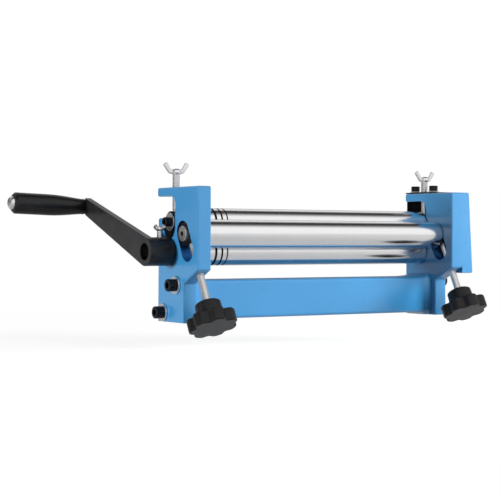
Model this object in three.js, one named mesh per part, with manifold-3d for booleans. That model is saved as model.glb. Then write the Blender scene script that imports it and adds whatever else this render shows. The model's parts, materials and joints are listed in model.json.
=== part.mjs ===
// Slip roll machine: a hand-cranked bench machine that rolls sheet metal and wire into curves.
// Two cast stands carry three rollers. The crank turns the lower roller, a gear pair outside the
// right stand turns the upper one, and the bending roller slides in slanted slots, set by two
// star knobs. Millimetres, +X from the crank to the gears, +Y to the rear, +Z up.

import * as THREE from 'three';
import { mergeVertices } from 'three/addons/utils/BufferGeometryUtils.js';
import Module from 'manifold-3d';

const wasm = await Module();
wasm.setup();

// Driving dimensions: rollers

const rollerSpan = 320;
const rollerDiameter = 30;
const rollerEndGap = 0.5;
const rollerEdge = 0.8;
const centreDrillDepth = 4;
const centreDrillRadius = 3;
const centreDrillTip = 0.4;
const journalDiameter = 16;
const pinchGap = 1.0;
const lowerAxisZ = 73.8;
const bendingRestY = -28.5;
const bendingRestZ = 92.5;
const bendingSlantDegrees = 27;
const bendingTravel = 16;
const grooveWidths = [2.8, 2.2, 1.6];
const grooveDistances = [32.5, 40, 46.5];

// Driving dimensions: stands

const standThickness = 16;
const standHeight = 141;
const standFrontY = -58.5;
const standEdge = 1.7;
const standCorner = 2.2;
const armRearY = 25.8;
const armDepth = 9.3;
const neckRadius = 10.5;
const hornTopZ = 109;
const legRearY = 24;
const legFrontY = -29.8;
const legTopZ = 40.7;
const slotWidth = 23.3;
const shieldDepth = 9;
const shieldReachTop = 10.3;
const shieldReachBottom = 16.5;
const shieldFillet = 5;
const shieldRoot = 3;
const shieldHeel = 2;
const shieldBottomZ = 48.8;

// Driving dimensions: bearing blocks and bushes

const blockDepth = 13.4;
const blockEdge = 0.6;
const blockFaceGap = 0.6;
const blockTopAboveAxis = 11.4;
const blockCrownAboveAxis = 12.2;
const blockFootBelowAxis = 16.8;
const bendingBlockFoot = 11.2;
const bendingBlockCorner = 7;
const bendingBlockCrown = 1.8;
const bendingJournalReach = 3.2;
const bushWall = 1.7;

// Driving dimensions: cross beam

const beamFrontY = -19.5;
const beamRearY = 17.5;
const beamBottomZ = 3;
const beamTopZ = 44.2;
const beamWall = 6;
const beamCorner = 3.5;
const pocketCorner = 4;
const padThickness = 9;
const padFlare = 3;
const flareLength = 22;
const flareSteps = 4;
const padFlat = 4;
const beamScrewUpper = { y: -14.2, z: 39 };
const beamScrewLower = { y: 12.8, z: 9.8 };

// Driving dimensions: fasteners

const m8 = { diameter: 8, headDiameter: 13, headHeight: 8, socket: 6 };
const m6 = { diameter: 6, headDiameter: 10, headHeight: 6, socket: 5 };
const screwEdge = 0.8;
const headEdge = 0.6;
const beamScrewLength = 25;
const beamWasherDiameter = 19;
const beamWasherThickness = 2;
const endWasherDiameter = 19;
const endWasherThickness = 1.6;
const endScrewLength = 14;
const endScrewBottomGap = 1;
const guardWasherDiameter = 12;
const guardWasherThickness = 0.8;
const guardScrewLength = 11;

// Driving dimensions: gears

const gearTeeth = 12;
const gearModule = 2.5;
const gearWidth = 11;
const gearPressureAngle = 20;
const gearBacklash = 0.5;
const gearDedendum = 1.25;
const gearSideGap = 1.2;
const flankSteps = 3;
const keySize = 5;
const keyLength = 9;
const ringThickness = 1.2;
const ringDepth = 1;
const ringWidth = 2.6;
const ringOpeningDegrees = 40;

// Driving dimensions: gear guard

const guardThickness = 1.2;
const guardShoulderZ = 136;
const guardBottomZ = 50;
const guardTabFrontY = -21;
const guardScrewSpacing = 32.6;
const guardBend = 3;
const guardTabInset = 1.5;
const guardFrontGap = 1;
const guardClearance = 0.6;

// Driving dimensions: crank

const crankRadius = 155.6;
const crankAngleDegrees = 18.4;
const armThickness = 7.5;
const hubDiameter = 30;
const hubLength = 29;
const hubBore = 18;
const hubBoreDepth = 10.8;
const armEndHeight = 19;
const tongueThickness = 3.6;
const gripLength = 85.9;
const gripTiltDegrees = 2;
const gripNeckDiameter = 17.2;
const gripNeckLength = 4.8;
const gripDiameter = 23.4;
const gripEdge = 3;
const gripHeadDiameter = 14.6;
const gripHeadHeight = 4.5;
const gripSlotLength = 7.2;
const gripSlotWidth = 1.6;
const gripBoltInset = 0.6;
const clampScrewX = 11.6;
const clampFlatDepth = 1;
const clampFlatInset = 3;
const armEdge = 0.5;
const hubGap = 0.8;

// Driving dimensions: star knobs and wing screws

const knobDiameter = 51;
const knobLobes = 7;
const knobValley = 4.2;
const knobThickness = 14;
const knobHubDiameter = 27;
const knobHubHeight = 15;
const knobEdge = 1.5;
const knobHubTaper = 0.6;
const knobHubEdge = 1.2;
const knobWavePower = 2.2;
const knobLobeSteps = 6;
const knobHubTop = { left: 78, right: 70.8 };
const knobScrewInside = 20;
const knobDogDiameter = 5;
const knobDogLength = 2.2;
const pinchBoltRise = 13.5;
const clampScrewRise = 6.6;
const pinchWing = { span: 31.5, width: 5, thickness: 2.8, rise: 13, hubHeight: 6, hubDiameter: 11 };
const clampWing = { span: 25, width: 4.2, thickness: 2.4, rise: 6.4, hubHeight: 4.6, hubDiameter: 9 };
const pinchWingTurns = [0, 5];

// Clearances: a running fit, a still seat, and the gap between flat faces that meet

const runningGap = 0.3;
const seatGap = 0.2;
const faceGap = 0.3;
const gripGap = 0.6;

// How far a cutting tool passes the faces that it opens, and how near points must be to merge

const cutOver = 1;
const weldReach = 1e-4;

// Smoothness of round parts

const screwSteps = 14;
const turnedSteps = 16;
const rollerSteps = 22;
const arcStepDegrees = 22.5;

// Sizes that follow from the driving dimensions

const degree = Math.PI / 180;
const slant = bendingSlantDegrees * degree;
const gripTilt = gripTiltDegrees * degree;
const crankAngle = crankAngleDegrees * degree;
const rollerRadius = rollerDiameter / 2;
const journalRadius = journalDiameter / 2;
const upperAxisZ = lowerAxisZ + rollerDiameter + pinchGap;
const innerFaceX = rollerSpan / 2;
const outerFaceX = innerFaceX + standThickness;
const standMiddleX = innerFaceX + standThickness / 2;
const rollerEndX = innerFaceX - rollerEndGap;
const slotRadius = slotWidth / 2;
const blockRadius = slotRadius - runningGap;
const blockInnerX = innerFaceX + blockFaceGap;
const blockOuterX = blockInnerX + blockDepth;
const upperSlotFootZ = upperAxisZ - blockFootBelowAxis - pinchGap;
const bushRadius = journalRadius + runningGap + bushWall;
const cornerInset = blockRadius - bendingBlockCorner;
const cornerDrop = bendingBlockFoot - bendingBlockCorner;
const slotFootReach = Math.sqrt((slotRadius - bendingBlockCorner) ** 2 - cornerInset ** 2);
const slantedSlotLength = bendingTravel + cornerDrop - slotFootReach + 2 * runningGap;
const gearInnerX = outerFaceX + gearSideGap;
const gearOuterX = gearInnerX + gearWidth;
const gearMiddleX = (gearInnerX + gearOuterX) / 2;
const ringX = gearOuterX + faceGap;
const journalEndX = ringX + ringThickness + gearSideGap;
const guardInnerX = journalEndX + guardClearance;
const guardTopZ = standHeight + faceGap + guardThickness;
const hubInnerX = -outerFaceX - hubGap;
const armOuterX = hubInnerX - hubLength;
const armInnerX = armOuterX + armThickness;
const crankBoreEndX = armOuterX + hubBoreDepth;
const gripAxisY = crankRadius * Math.cos(crankAngle);
const gripAxisZ = crankRadius * Math.sin(crankAngle);
const armEndY = gripAxisY - gripNeckDiameter / 2 - runningGap;
const tongueOuterX = armInnerX - tongueThickness;
const gripInnerX = tongueOuterX - gripGap;

// Finishes

const bluePaint = { color: 0x5fa8e0, roughness: 0.38, metalness: 0.0 };
const chrome = { color: 0xd8dade, roughness: 0.12, metalness: 1.0 };
const blackOxide = { color: 0x1b1c1e, roughness: 0.45, metalness: 0.6 };
const blackPaint = { color: 0x26272a, roughness: 0.5, metalness: 0.0 };
const blackPlastic = { color: 0x2b2b2d, roughness: 0.55, metalness: 0.0 };
const brightZinc = { color: 0xc9ccce, roughness: 0.3, metalness: 1.0 };
const gearSteel = { color: 0x8e9196, roughness: 0.35, metalness: 1.0 };
const bushBronze = { color: 0xa9803f, roughness: 0.4, metalness: 1.0 };

// Solid helpers

function toSolid(geometry) {
  const bare = geometry.clone();
  bare.deleteAttribute('normal');
  bare.deleteAttribute('uv');
  const merged = mergeVertices(bare, weldReach);
  const corners = merged.index.array;
  const kept = [];
  for (let i = 0; i < corners.length; i += 3) {
    const [a, b, c] = [corners[i], corners[i + 1], corners[i + 2]];
    if (a !== b && b !== c && c !== a) {
      kept.push(a, b, c);
    }
  }
  return new wasm.Manifold(new wasm.Mesh({
    numProp: 3,
    vertProperties: new Float32Array(merged.attributes.position.array),
    triVerts: new Uint32Array(kept),
  }));
}

function toGeometry(solid) {
  const mesh = solid.getMesh();
  const geometry = new THREE.BufferGeometry();
  geometry.setAttribute('position', new THREE.BufferAttribute(new Float32Array(mesh.vertProperties), 3));
  geometry.setIndex(new THREE.BufferAttribute(new Uint32Array(mesh.triVerts), 1));
  geometry.computeVertexNormals();
  return geometry;
}

function piece(name, solid, finish) {
  const material = new THREE.MeshStandardMaterial({ ...finish, flatShading: true });
  const mesh = new THREE.Mesh(toGeometry(solid), material);
  mesh.name = name;
  return mesh;
}

// Outline helpers: an outline is a closed list of 2-D points

function arc(centreX, centreY, radius, startDegrees, endDegrees) {
  const steps = Math.max(2, Math.ceil(Math.abs(endDegrees - startDegrees) / arcStepDegrees));
  const points = [];
  for (let i = 0; i <= steps; i += 1) {
    const angle = (startDegrees + ((endDegrees - startDegrees) * i) / steps) * degree;
    points.push(new THREE.Vector2(centreX + radius * Math.cos(angle), centreY + radius * Math.sin(angle)));
  }
  return points;
}

// Rounds each corner [x, y, radius] of a polygon with an arc tangent to its two sides.
function rounded(corners) {
  const points = [];
  corners.forEach(([x, y, radius], i) => {
    const corner = new THREE.Vector2(x, y);
    if (!radius) {
      points.push(corner);
      return;
    }
    const before = corners[(i + corners.length - 1) % corners.length];
    const after = corners[(i + 1) % corners.length];
    const back = new THREE.Vector2(before[0] - x, before[1] - y).normalize();
    const ahead = new THREE.Vector2(after[0] - x, after[1] - y).normalize();
    const half = Math.acos(THREE.MathUtils.clamp(back.dot(ahead), -1, 1)) / 2;
    const reach = radius / Math.tan(half);
    const start = corner.clone().addScaledVector(back, reach);
    const centre = back.clone().add(ahead).normalize().multiplyScalar(radius / Math.sin(half)).add(corner);
    const from = start.clone().sub(centre);
    const turn = Math.PI - 2 * half;
    const sense = Math.sign(back.y * ahead.x - back.x * ahead.y);
    const steps = Math.max(2, Math.ceil(turn / (arcStepDegrees * degree)));
    for (let k = 0; k <= steps; k += 1) {
      const swept = from.clone().rotateAround(new THREE.Vector2(), (sense * turn * k) / steps);
      points.push(swept.add(centre));
    }
  });
  return points;
}

// A stadium whose two round ends are centred on (x, topY) and (x, bottomY).
function stadium(x, topY, bottomY, radius) {
  return [...arc(x, topY, radius, 0, 180), ...arc(x, bottomY, radius, 180, 360)];
}

function turned(points, angle, centreX, centreY) {
  const centre = new THREE.Vector2(centreX, centreY);
  return points.map((point) => point.clone().add(centre).rotateAround(centre, angle));
}

// Extrudes an outline along +Z from z = 0, with its edges bevelled inwards by edge.
function plate(outline, thickness, edge = 0, holes = []) {
  const shape = new THREE.Shape(outline);
  holes.forEach((hole) => shape.holes.push(new THREE.Path(hole)));
  const geometry = new THREE.ExtrudeGeometry(shape, {
    depth: thickness - 2 * edge,
    bevelEnabled: edge > 0,
    bevelThickness: edge,
    bevelSize: edge,
    bevelOffset: -edge,
    bevelSegments: edge > 1 ? 2 : 1,
    curveSegments: 1,
  });
  geometry.translate(0, 0, edge);
  return geometry;
}

// Turns a plate so that its outline (x, y) lies in the Y-Z plane and its thickness runs along X.
const outlineToYZ = new THREE.Matrix4().makeBasis(
  new THREE.Vector3(0, 1, 0),
  new THREE.Vector3(0, 0, 1),
  new THREE.Vector3(1, 0, 0),
);

function plateAlongX(outline, startX, thickness, edge = 0, holes = []) {
  const geometry = plate(outline, thickness, edge, holes);
  geometry.applyMatrix4(outlineToYZ);
  geometry.translate(startX, 0, 0);
  return toSolid(geometry);
}

const upAxis = new THREE.Vector3(0, 1, 0);

function rod(start, end, radius, steps = screwSteps, endRadius = radius) {
  const axis = end.clone().sub(start);
  const geometry = new THREE.CylinderGeometry(endRadius, radius, axis.length(), steps);
  geometry.applyQuaternion(new THREE.Quaternion().setFromUnitVectors(upAxis, axis.clone().normalize()));
  const middle = start.clone().add(end).multiplyScalar(0.5);
  geometry.translate(middle.x, middle.y, middle.z);
  return toSolid(geometry);
}

function rodX(startX, endX, y, z, radius, steps = screwSteps) {
  return rod(new THREE.Vector3(startX, y, z), new THREE.Vector3(endX, y, z), radius, steps);
}

function rodZ(startZ, endZ, x, y, radius, steps = screwSteps) {
  return rod(new THREE.Vector3(x, y, startZ), new THREE.Vector3(x, y, endZ), radius, steps);
}

function box(lowX, highX, lowY, highY, lowZ, highZ) {
  const geometry = new THREE.BoxGeometry(highX - lowX, highY - lowY, highZ - lowZ);
  geometry.translate((lowX + highX) / 2, (lowY + highY) / 2, (lowZ + highZ) / 2);
  return toSolid(geometry);
}

// Revolves a profile of [radius, height] pairs, low to high, about +X or +Z.
function revolved(profile, steps, axis) {
  const geometry = new THREE.LatheGeometry(profile.map(([r, h]) => new THREE.Vector2(r, h)), steps);
  if (axis === 'x') {
    geometry.rotateZ(-Math.PI / 2);
  } else {
    geometry.rotateX(Math.PI / 2);
  }
  return toSolid(geometry);
}

// Stands

function slantedSlot(radius) {
  const slot = stadium(0, bendingBlockCrown, -slantedSlotLength, radius);
  return turned(slot, -slant, bendingRestY, bendingRestZ);
}

// Height of the front corner where the chamfered chin meets the stand's front face
function chinZ() {
  return legTopZ + (legFrontY - standFrontY) * Math.tan(slant);
}

// Side outline of a stand's casting: a top arm over a rear-open notch, a short horn behind the upper
// slot, a chamfered chin that the knob screw passes, and a straight leg.
function standOutline() {
  return rounded([
    [legRearY, hornTopZ, standCorner],
    [-slotRadius, hornTopZ, 0],
    [-slotRadius, standHeight - armDepth, neckRadius],
    [armRearY, standHeight - armDepth, standCorner],
    [armRearY, standHeight, standCorner],
    [standFrontY, standHeight, standCorner],
    [standFrontY, chinZ(), standCorner],
    [legFrontY, legTopZ, standCorner],
    [legFrontY, 0, 0],
    [legRearY, 0, 0],
  ]);
}

// The machined slots of both roller blocks
function slotCutter(side) {
  const startX = (side < 0 ? -outerFaceX : innerFaceX) - cutOver;
  const upright = stadium(0, hornTopZ, upperSlotFootZ + slotRadius, slotRadius);
  const length = standThickness + 2 * cutOver;
  return plateAlongX(upright, startX, length).add(plateAlongX(slantedSlot(slotRadius), startX, length));
}

// Holes of a stand on one side: side is -1 for the left stand and 1 for the right one.
function drillStand(body, side) {
  const inner = side * (innerFaceX - cutOver);
  const outer = side * (outerFaceX + cutOver);
  const armUnder = standHeight - armDepth - cutOver;
  const middle = side * standMiddleX;
  const screwRadius = m8.diameter / 2 + runningGap;
  const direction = new THREE.Vector3(0, -Math.sin(slant), -Math.cos(slant));
  const rest = new THREE.Vector3(middle, bendingRestY, bendingRestZ);
  const screwFrom = rest.clone().addScaledVector(direction, slantedSlotLength);
  const screwTo = rest.clone().addScaledVector(direction, knobHubTop.right);
  let drilled = body
    .subtract(slotCutter(side))
    .subtract(rodX(inner, outer, 0, lowerAxisZ, bushRadius + seatGap, turnedSteps))
    .subtract(rodZ(armUnder, standHeight + cutOver, middle, 0, screwRadius))
    .subtract(rod(screwTo, screwFrom, screwRadius));
  [beamScrewUpper, beamScrewLower].forEach(({ y, z }) => {
    drilled = drilled.subtract(rodX(inner, outer, y, z, screwRadius));
  });
  return drilled;
}

function leftStand() {
  const body = plateAlongX(standOutline(), -outerFaceX, standThickness, standEdge);
  return drillStand(body, -1);
}

// The right stand carries a front shield that hides the gears. Its outer edge widens downwards.
function rightStand() {
  const body = plateAlongX(standOutline(), innerFaceX, standThickness, standEdge);
  const rear = standFrontY + shieldDepth;
  const root = outerFaceX - shieldRoot;
  const heel = rear + shieldFillet + shieldHeel;
  const tip = outerFaceX + shieldReachBottom;
  const section = rounded([
    [root, standFrontY, 0],
    [tip, standFrontY, standEdge],
    [tip, rear, standEdge],
    [outerFaceX, rear, shieldFillet],
    [outerFaceX, heel, 0],
    [root, heel, 0],
  ]);
  const columnPlate = plate(section, standHeight - shieldBottomZ);
  columnPlate.translate(0, 0, shieldBottomZ);
  const taper = plate([
    new THREE.Vector2(root - cutOver, shieldBottomZ - cutOver),
    new THREE.Vector2(tip, shieldBottomZ - cutOver),
    new THREE.Vector2(tip, shieldBottomZ),
    new THREE.Vector2(outerFaceX + shieldReachTop, standHeight),
    new THREE.Vector2(root - cutOver, standHeight),
  ], 2 * shieldDepth);
  taper.rotateX(Math.PI / 2);
  taper.translate(0, standFrontY + 2 * shieldDepth, 0);
  const rise = Math.tan(slant);
  const chin = plateAlongX([
    new THREE.Vector2(standFrontY - cutOver, chinZ() + cutOver * rise),
    new THREE.Vector2(standFrontY - cutOver, shieldBottomZ - cutOver),
    new THREE.Vector2(standFrontY + (chinZ() - shieldBottomZ + cutOver) / rise, shieldBottomZ - cutOver),
  ], root - cutOver, shieldRoot + cutOver);
  const shield = toSolid(columnPlate).intersect(toSolid(taper)).subtract(chin);
  const screwRadius = m6.diameter / 2 + runningGap;
  let stand = drillStand(body.add(shield), 1);
  const armUnder = standHeight - armDepth - cutOver;
  [-1, 1].forEach((end) => {
    const y = (end * guardScrewSpacing) / 2;
    stand = stand.subtract(rodZ(armUnder, standHeight + cutOver, standMiddleX, y, screwRadius));
  });
  return stand;
}

// Cross beam: a channel section that is open to the rear, flaring into a bolting pad at each end

function beamSection(x, flare) {
  const corners = rounded([
    [beamFrontY - flare, beamBottomZ - flare, beamCorner],
    [beamRearY + flare, beamBottomZ - flare, beamCorner],
    [beamRearY + flare, beamTopZ + flare, beamCorner],
    [beamFrontY - flare, beamTopZ + flare, beamCorner],
  ]);
  return corners.map((corner) => new THREE.Vector3(x, corner.x, corner.y));
}

function loft(sections) {
  const count = sections[0].length;
  const points = sections.flat();
  const triangles = [];
  for (let s = 0; s + 1 < sections.length; s += 1) {
    for (let i = 0; i < count; i += 1) {
      const next = (i + 1) % count;
      const [a, b] = [s * count + i, s * count + next];
      const [c, d] = [a + count, b + count];
      triangles.push(a, b, d, a, d, c);
    }
  }
  const last = (sections.length - 1) * count;
  for (let i = 1; i + 1 < count; i += 1) {
    triangles.push(0, i + 1, i, last, last + i, last + i + 1);
  }
  const geometry = new THREE.BufferGeometry();
  geometry.setFromPoints(points);
  geometry.setIndex(triangles);
  return toSolid(geometry);
}

function crossBeam() {
  const endX = innerFaceX - faceGap;
  const half = [];
  for (let i = 0; i <= flareSteps; i += 1) {
    const t = i / flareSteps;
    half.push({ x: endX - padFlat - flareLength * (1 - t), flare: padFlare * (1 - Math.sqrt(1 - t * t)) });
  }
  half.push({ x: endX, flare: padFlare });
  const stations = [...half.map(({ x, flare }) => ({ x: -x, flare })).reverse(), ...half];
  const outer = loft(stations.map(({ x, flare }) => beamSection(x, flare)));
  const pocketEndX = innerFaceX - padThickness;
  const pocketOutline = rounded([
    [-pocketEndX, beamBottomZ + beamWall, pocketCorner],
    [pocketEndX, beamBottomZ + beamWall, pocketCorner],
    [pocketEndX, beamTopZ - beamWall, pocketCorner],
    [-pocketEndX, beamTopZ - beamWall, pocketCorner],
  ]);
  const mouthY = beamRearY + padFlare + cutOver;
  const pocket = plate(pocketOutline, mouthY - beamFrontY - beamWall);
  pocket.rotateX(Math.PI / 2);
  pocket.translate(0, mouthY, 0);
  let beam = outer.subtract(toSolid(pocket));
  [-1, 1].forEach((side) => {
    [beamScrewUpper, beamScrewLower].forEach(({ y, z }) => {
      const radius = m8.diameter / 2 + runningGap;
      beam = beam.subtract(rodX(side * (pocketEndX - cutOver), side * (innerFaceX + cutOver), y, z, radius));
    });
  });
  return beam;
}

// Bearing blocks and bushes

function journalBore(length) {
  return rodX(-cutOver, length + cutOver, 0, 0, journalRadius + runningGap, turnedSteps);
}

function upperBlock() {
  const crownY = blockCrownAboveAxis - blockRadius;
  const footY = blockRadius - blockFootBelowAxis;
  const outline = stadium(0, crownY, footY, blockRadius);
  const body = plateAlongX(outline, 0, blockDepth, blockEdge);
  const highZ = blockCrownAboveAxis + cutOver;
  const crown = box(-cutOver, blockDepth + cutOver, -blockRadius, blockRadius, blockTopAboveAxis, highZ);
  return body.subtract(crown).subtract(journalBore(blockDepth));
}

// The block's foot has a socket for the dog of the knob's screw.
function bendingBlock() {
  const outline = [
    ...arc(0, bendingBlockCrown, blockRadius, 0, 180),
    ...arc(-cornerInset, -cornerDrop, bendingBlockCorner, 180, 270),
    ...arc(cornerInset, -cornerDrop, bendingBlockCorner, 270, 360),
  ];
  const body = plateAlongX(outline, 0, blockDepth, blockEdge);
  const dogX = standMiddleX - blockInnerX;
  const dogRadius = knobDogDiameter / 2 + runningGap;
  return body
    .subtract(journalBore(blockDepth))
    .subtract(rodZ(-bendingBlockFoot - cutOver, 0, dogX, 0, dogRadius));
}

function lowerBush() {
  return rodX(0, standThickness, 0, 0, bushRadius, turnedSteps).subtract(journalBore(standThickness));
}

// Rollers. Profiles run along +X, from the left end to the right end.

function grooveProfile() {
  return grooveDistances.flatMap((distance, i) => {
    const width = grooveWidths[i];
    const centre = -innerFaceX + distance;
    const depth = width / 2;
    return [
      [rollerRadius, centre - width / 2],
      [rollerRadius - depth, centre],
      [rollerRadius, centre + width / 2],
    ];
  });
}

function rollerBody(leftX, rightX, grooves) {
  return revolved([
    [0, leftX],
    [journalRadius, leftX],
    [journalRadius, -rollerEndX],
    [rollerRadius - rollerEdge, -rollerEndX],
    [rollerRadius, -rollerEndX + rollerEdge],
    ...grooves,
    [rollerRadius, rollerEndX - rollerEdge],
    [rollerRadius - rollerEdge, rollerEndX],
    [journalRadius, rollerEndX],
    [journalRadius, rightX],
    [0, rightX],
  ], rollerSteps, 'x');
}

// The gear end of a journal has a keyway and a groove for its retaining ring.
function gearSeat(roller) {
  const halfKey = keySize / 2 + seatGap;
  const keyway = box(
    gearMiddleX - keyLength / 2 - seatGap,
    gearMiddleX + keyLength / 2 + seatGap,
    -halfKey,
    halfKey,
    journalRadius - halfKey,
    journalRadius + cutOver,
  );
  const ringEndX = ringX + ringThickness;
  const around = rodX(ringX - seatGap, ringEndX + seatGap, 0, 0, journalRadius + cutOver, rollerSteps);
  const core = rodX(ringX - cutOver, ringEndX + cutOver, 0, 0, journalRadius - ringDepth, rollerSteps);
  return roller.subtract(keyway).subtract(around.subtract(core));
}

// The crank's end has a flat for the clamp screw.
function lowerRoller() {
  const leftX = crankBoreEndX + faceGap;
  const roller = gearSeat(rollerBody(leftX, journalEndX, grooveProfile()));
  const flatZ = journalRadius - clampFlatDepth;
  const flatEndX = -outerFaceX - clampFlatInset;
  const highZ = journalRadius + cutOver;
  return roller.subtract(box(leftX - cutOver, flatEndX, -journalRadius, journalRadius, flatZ, highZ));
}

function upperRoller() {
  const leftX = -blockOuterX - faceGap;
  const roller = gearSeat(rollerBody(leftX, journalEndX, grooveProfile()));
  const threadEndX = leftX + endScrewLength - endWasherThickness + endScrewBottomGap;
  return roller.subtract(rodX(leftX - cutOver, threadEndX, 0, 0, m6.diameter / 2 + runningGap));
}

function bendingRoller() {
  const endX = blockOuterX + bendingJournalReach;
  const roller = rollerBody(-endX, endX, []);
  const drill = (side) => rod(
    new THREE.Vector3(side * (endX - centreDrillDepth), 0, 0),
    new THREE.Vector3(side * endX, 0, 0),
    centreDrillTip,
    screwSteps,
    centreDrillRadius,
  );
  return roller.subtract(drill(-1)).subtract(drill(1));
}

// Gears: involute teeth, with the first tooth on +Y turned by phase

function involuteOutline(phase) {
  const pitchRadius = (gearTeeth * gearModule) / 2;
  const baseRadius = pitchRadius * Math.cos(gearPressureAngle * degree);
  const tipRadius = pitchRadius + gearModule;
  const rootRadius = pitchRadius - gearDedendum * gearModule;
  const roll = (radius) => Math.sqrt(Math.max(0, (radius / baseRadius) ** 2 - 1));
  const involute = (radius) => roll(radius) - Math.atan(roll(radius));
  const pitchHalfAngle = (Math.PI * gearModule / 2 - gearBacklash) / (2 * pitchRadius);
  const halfAngle = (radius) => pitchHalfAngle + involute(pitchRadius) - involute(radius);
  const radii = [rootRadius];
  for (let i = 0; i <= flankSteps; i += 1) {
    radii.push(baseRadius + ((tipRadius - baseRadius) * i) / flankSteps);
  }
  const points = [];
  for (let tooth = 0; tooth < gearTeeth; tooth += 1) {
    const middle = phase + (tooth * 2 * Math.PI) / gearTeeth;
    const polar = (radius, angle) => new THREE.Vector2(radius * Math.cos(angle), radius * Math.sin(angle));
    radii.forEach((radius) => points.push(polar(radius, middle - halfAngle(Math.max(radius, baseRadius)))));
    radii.slice().reverse().forEach((radius) => {
      points.push(polar(radius, middle + halfAngle(Math.max(radius, baseRadius))));
    });
  }
  return points;
}

function gear(phase) {
  const body = plateAlongX(involuteOutline(phase), gearInnerX, gearWidth);
  const halfKey = keySize / 2 + seatGap;
  const [startX, endX] = [gearInnerX - cutOver, gearOuterX + cutOver];
  const bore = rodX(startX, endX, 0, 0, journalRadius + seatGap, rollerSteps);
  const keyway = box(startX, endX, -halfKey, halfKey, 0, journalRadius + halfKey);
  return body.subtract(bore).subtract(keyway);
}

function gearKey() {
  const half = keySize / 2;
  const [startX, endX] = [gearMiddleX - keyLength / 2, gearMiddleX + keyLength / 2];
  return box(startX, endX, -half, half, journalRadius - half, journalRadius + half);
}

// The ring is open at its foot.
function retainingRing() {
  const inner = journalRadius - ringDepth + seatGap;
  const [start, end] = [-90 + ringOpeningDegrees / 2, 270 - ringOpeningDegrees / 2];
  const outline = [
    ...arc(0, 0, inner + ringWidth, end, start),
    ...arc(0, 0, inner, start, end),
  ];
  return plateAlongX(outline, ringX, ringThickness);
}

// Fasteners

function capScrew(size, length, headAxis) {
  const radius = size.diameter / 2;
  const headRadius = size.headDiameter / 2;
  const body = revolved([
    [0, -length],
    [radius - screwEdge, -length],
    [radius, -length + screwEdge],
    [radius, 0],
    [headRadius, 0],
    [headRadius, size.headHeight - headEdge],
    [headRadius - headEdge, size.headHeight],
    [0, size.headHeight],
  ], screwSteps, 'z');
  const socketRadius = size.socket / 2 / Math.cos(Math.PI / 6);
  const depth = size.headHeight / 2;
  const socket = rodZ(size.headHeight - depth, size.headHeight + cutOver, 0, 0, socketRadius, 6);
  const screw = body.subtract(socket);
  const mesh = toGeometry(screw);
  if (headAxis) {
    mesh.rotateY((headAxis * Math.PI) / 2);
  }
  return toSolid(mesh);
}

function washerX(diameter, thickness, bore) {
  const ring = rodX(0, thickness, 0, 0, diameter / 2);
  return ring.subtract(rodX(-cutOver, thickness + cutOver, 0, 0, bore / 2 + runningGap));
}

function washerZ(diameter, thickness, bore) {
  const ring = rodZ(0, thickness, 0, 0, diameter / 2);
  return ring.subtract(rodZ(-cutOver, thickness + cutOver, 0, 0, bore / 2 + runningGap));
}

// A wing screw stands on its tip at z = 0. Each wing is a bent bar that rises from the hub.
function wingOutline(wing, shaftLength) {
  const inner = wing.hubDiameter / 2 - 1.5;
  const half = wing.span / 2;
  const foot = shaftLength;
  const lean = wing.width * 0.8;
  return rounded([
    [inner - 2, foot + wing.hubHeight * 0.25, 0],
    [inner + 1, foot + wing.hubHeight * 0.2, 1.5],
    [half, foot + wing.rise - lean * 0.6, 1],
    [half - lean, foot + wing.rise, 1],
    [inner + 1, foot + wing.hubHeight * 0.85, 2.5],
    [inner - 2, foot + wing.hubHeight * 0.8, 0],
  ]);
}

function wingScrew(diameter, shaftLength, wing) {
  const radius = diameter / 2;
  const hub = wing.hubDiameter / 2;
  const core = revolved([
    [0, 0],
    [radius - screwEdge, 0],
    [radius, screwEdge],
    [radius, shaftLength],
    [radius + 0.3, shaftLength],
    [hub, shaftLength + wing.hubHeight * 0.3],
    [hub - 0.6, shaftLength + wing.hubHeight * 0.85],
    [hub - 2, shaftLength + wing.hubHeight],
    [0, shaftLength + wing.hubHeight],
  ], screwSteps, 'z');
  let screw = core;
  [0, Math.PI].forEach((turn) => {
    const bar = plate(wingOutline(wing, shaftLength), wing.thickness, 0.5);
    bar.translate(0, 0, -wing.thickness / 2);
    bar.rotateX(Math.PI / 2);
    bar.rotateZ(turn);
    screw = screw.add(toSolid(bar));
  });
  return screw;
}

// Star knob: its axis is +Z, its top is at z = 0 and its broad face is below

function knobOutline() {
  const outer = knobDiameter / 2;
  const points = [];
  const steps = knobLobes * knobLobeSteps;
  for (let i = 0; i < steps; i += 1) {
    const angle = (i / steps) * 2 * Math.PI;
    const wave = (1 - Math.cos(knobLobes * angle)) / 2;
    const radius = outer - knobValley * wave ** knobWavePower;
    points.push(new THREE.Vector2(radius * Math.cos(angle), radius * Math.sin(angle)));
  }
  return points;
}

function starKnob() {
  const star = plate(knobOutline(), knobThickness, knobEdge);
  star.translate(0, 0, -knobHubHeight - knobThickness);
  const hubRadius = knobHubDiameter / 2;
  const hub = revolved([
    [0, -knobHubHeight - cutOver],
    [hubRadius + knobHubTaper, -knobHubHeight - cutOver],
    [hubRadius, -knobHubEdge],
    [hubRadius - knobHubEdge, 0],
    [0, 0],
  ], turnedSteps, 'z');
  const bore = rodZ(-knobScrewInside - cutOver, cutOver, 0, 0, m8.diameter / 2 + seatGap);
  return toSolid(star).add(hub).subtract(bore);
}

// The knob's screw, in the slanted frame whose origin is the bending roller's axis at rest
function knobScrew(hubTop) {
  const radius = m8.diameter / 2;
  const dog = knobDogDiameter / 2;
  const top = -bendingBlockFoot - faceGap;
  return revolved([
    [0, -hubTop - knobScrewInside],
    [radius, -hubTop - knobScrewInside],
    [radius, top - screwEdge],
    [radius - screwEdge, top],
    [dog, top],
    [dog, top + knobDogLength - 0.5],
    [dog - 0.5, top + knobDogLength],
    [0, top + knobDogLength],
  ], screwSteps, 'z');
}

// Crank arm: a tapered plate and its hub, with a milled tongue that the grip turns against

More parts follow.
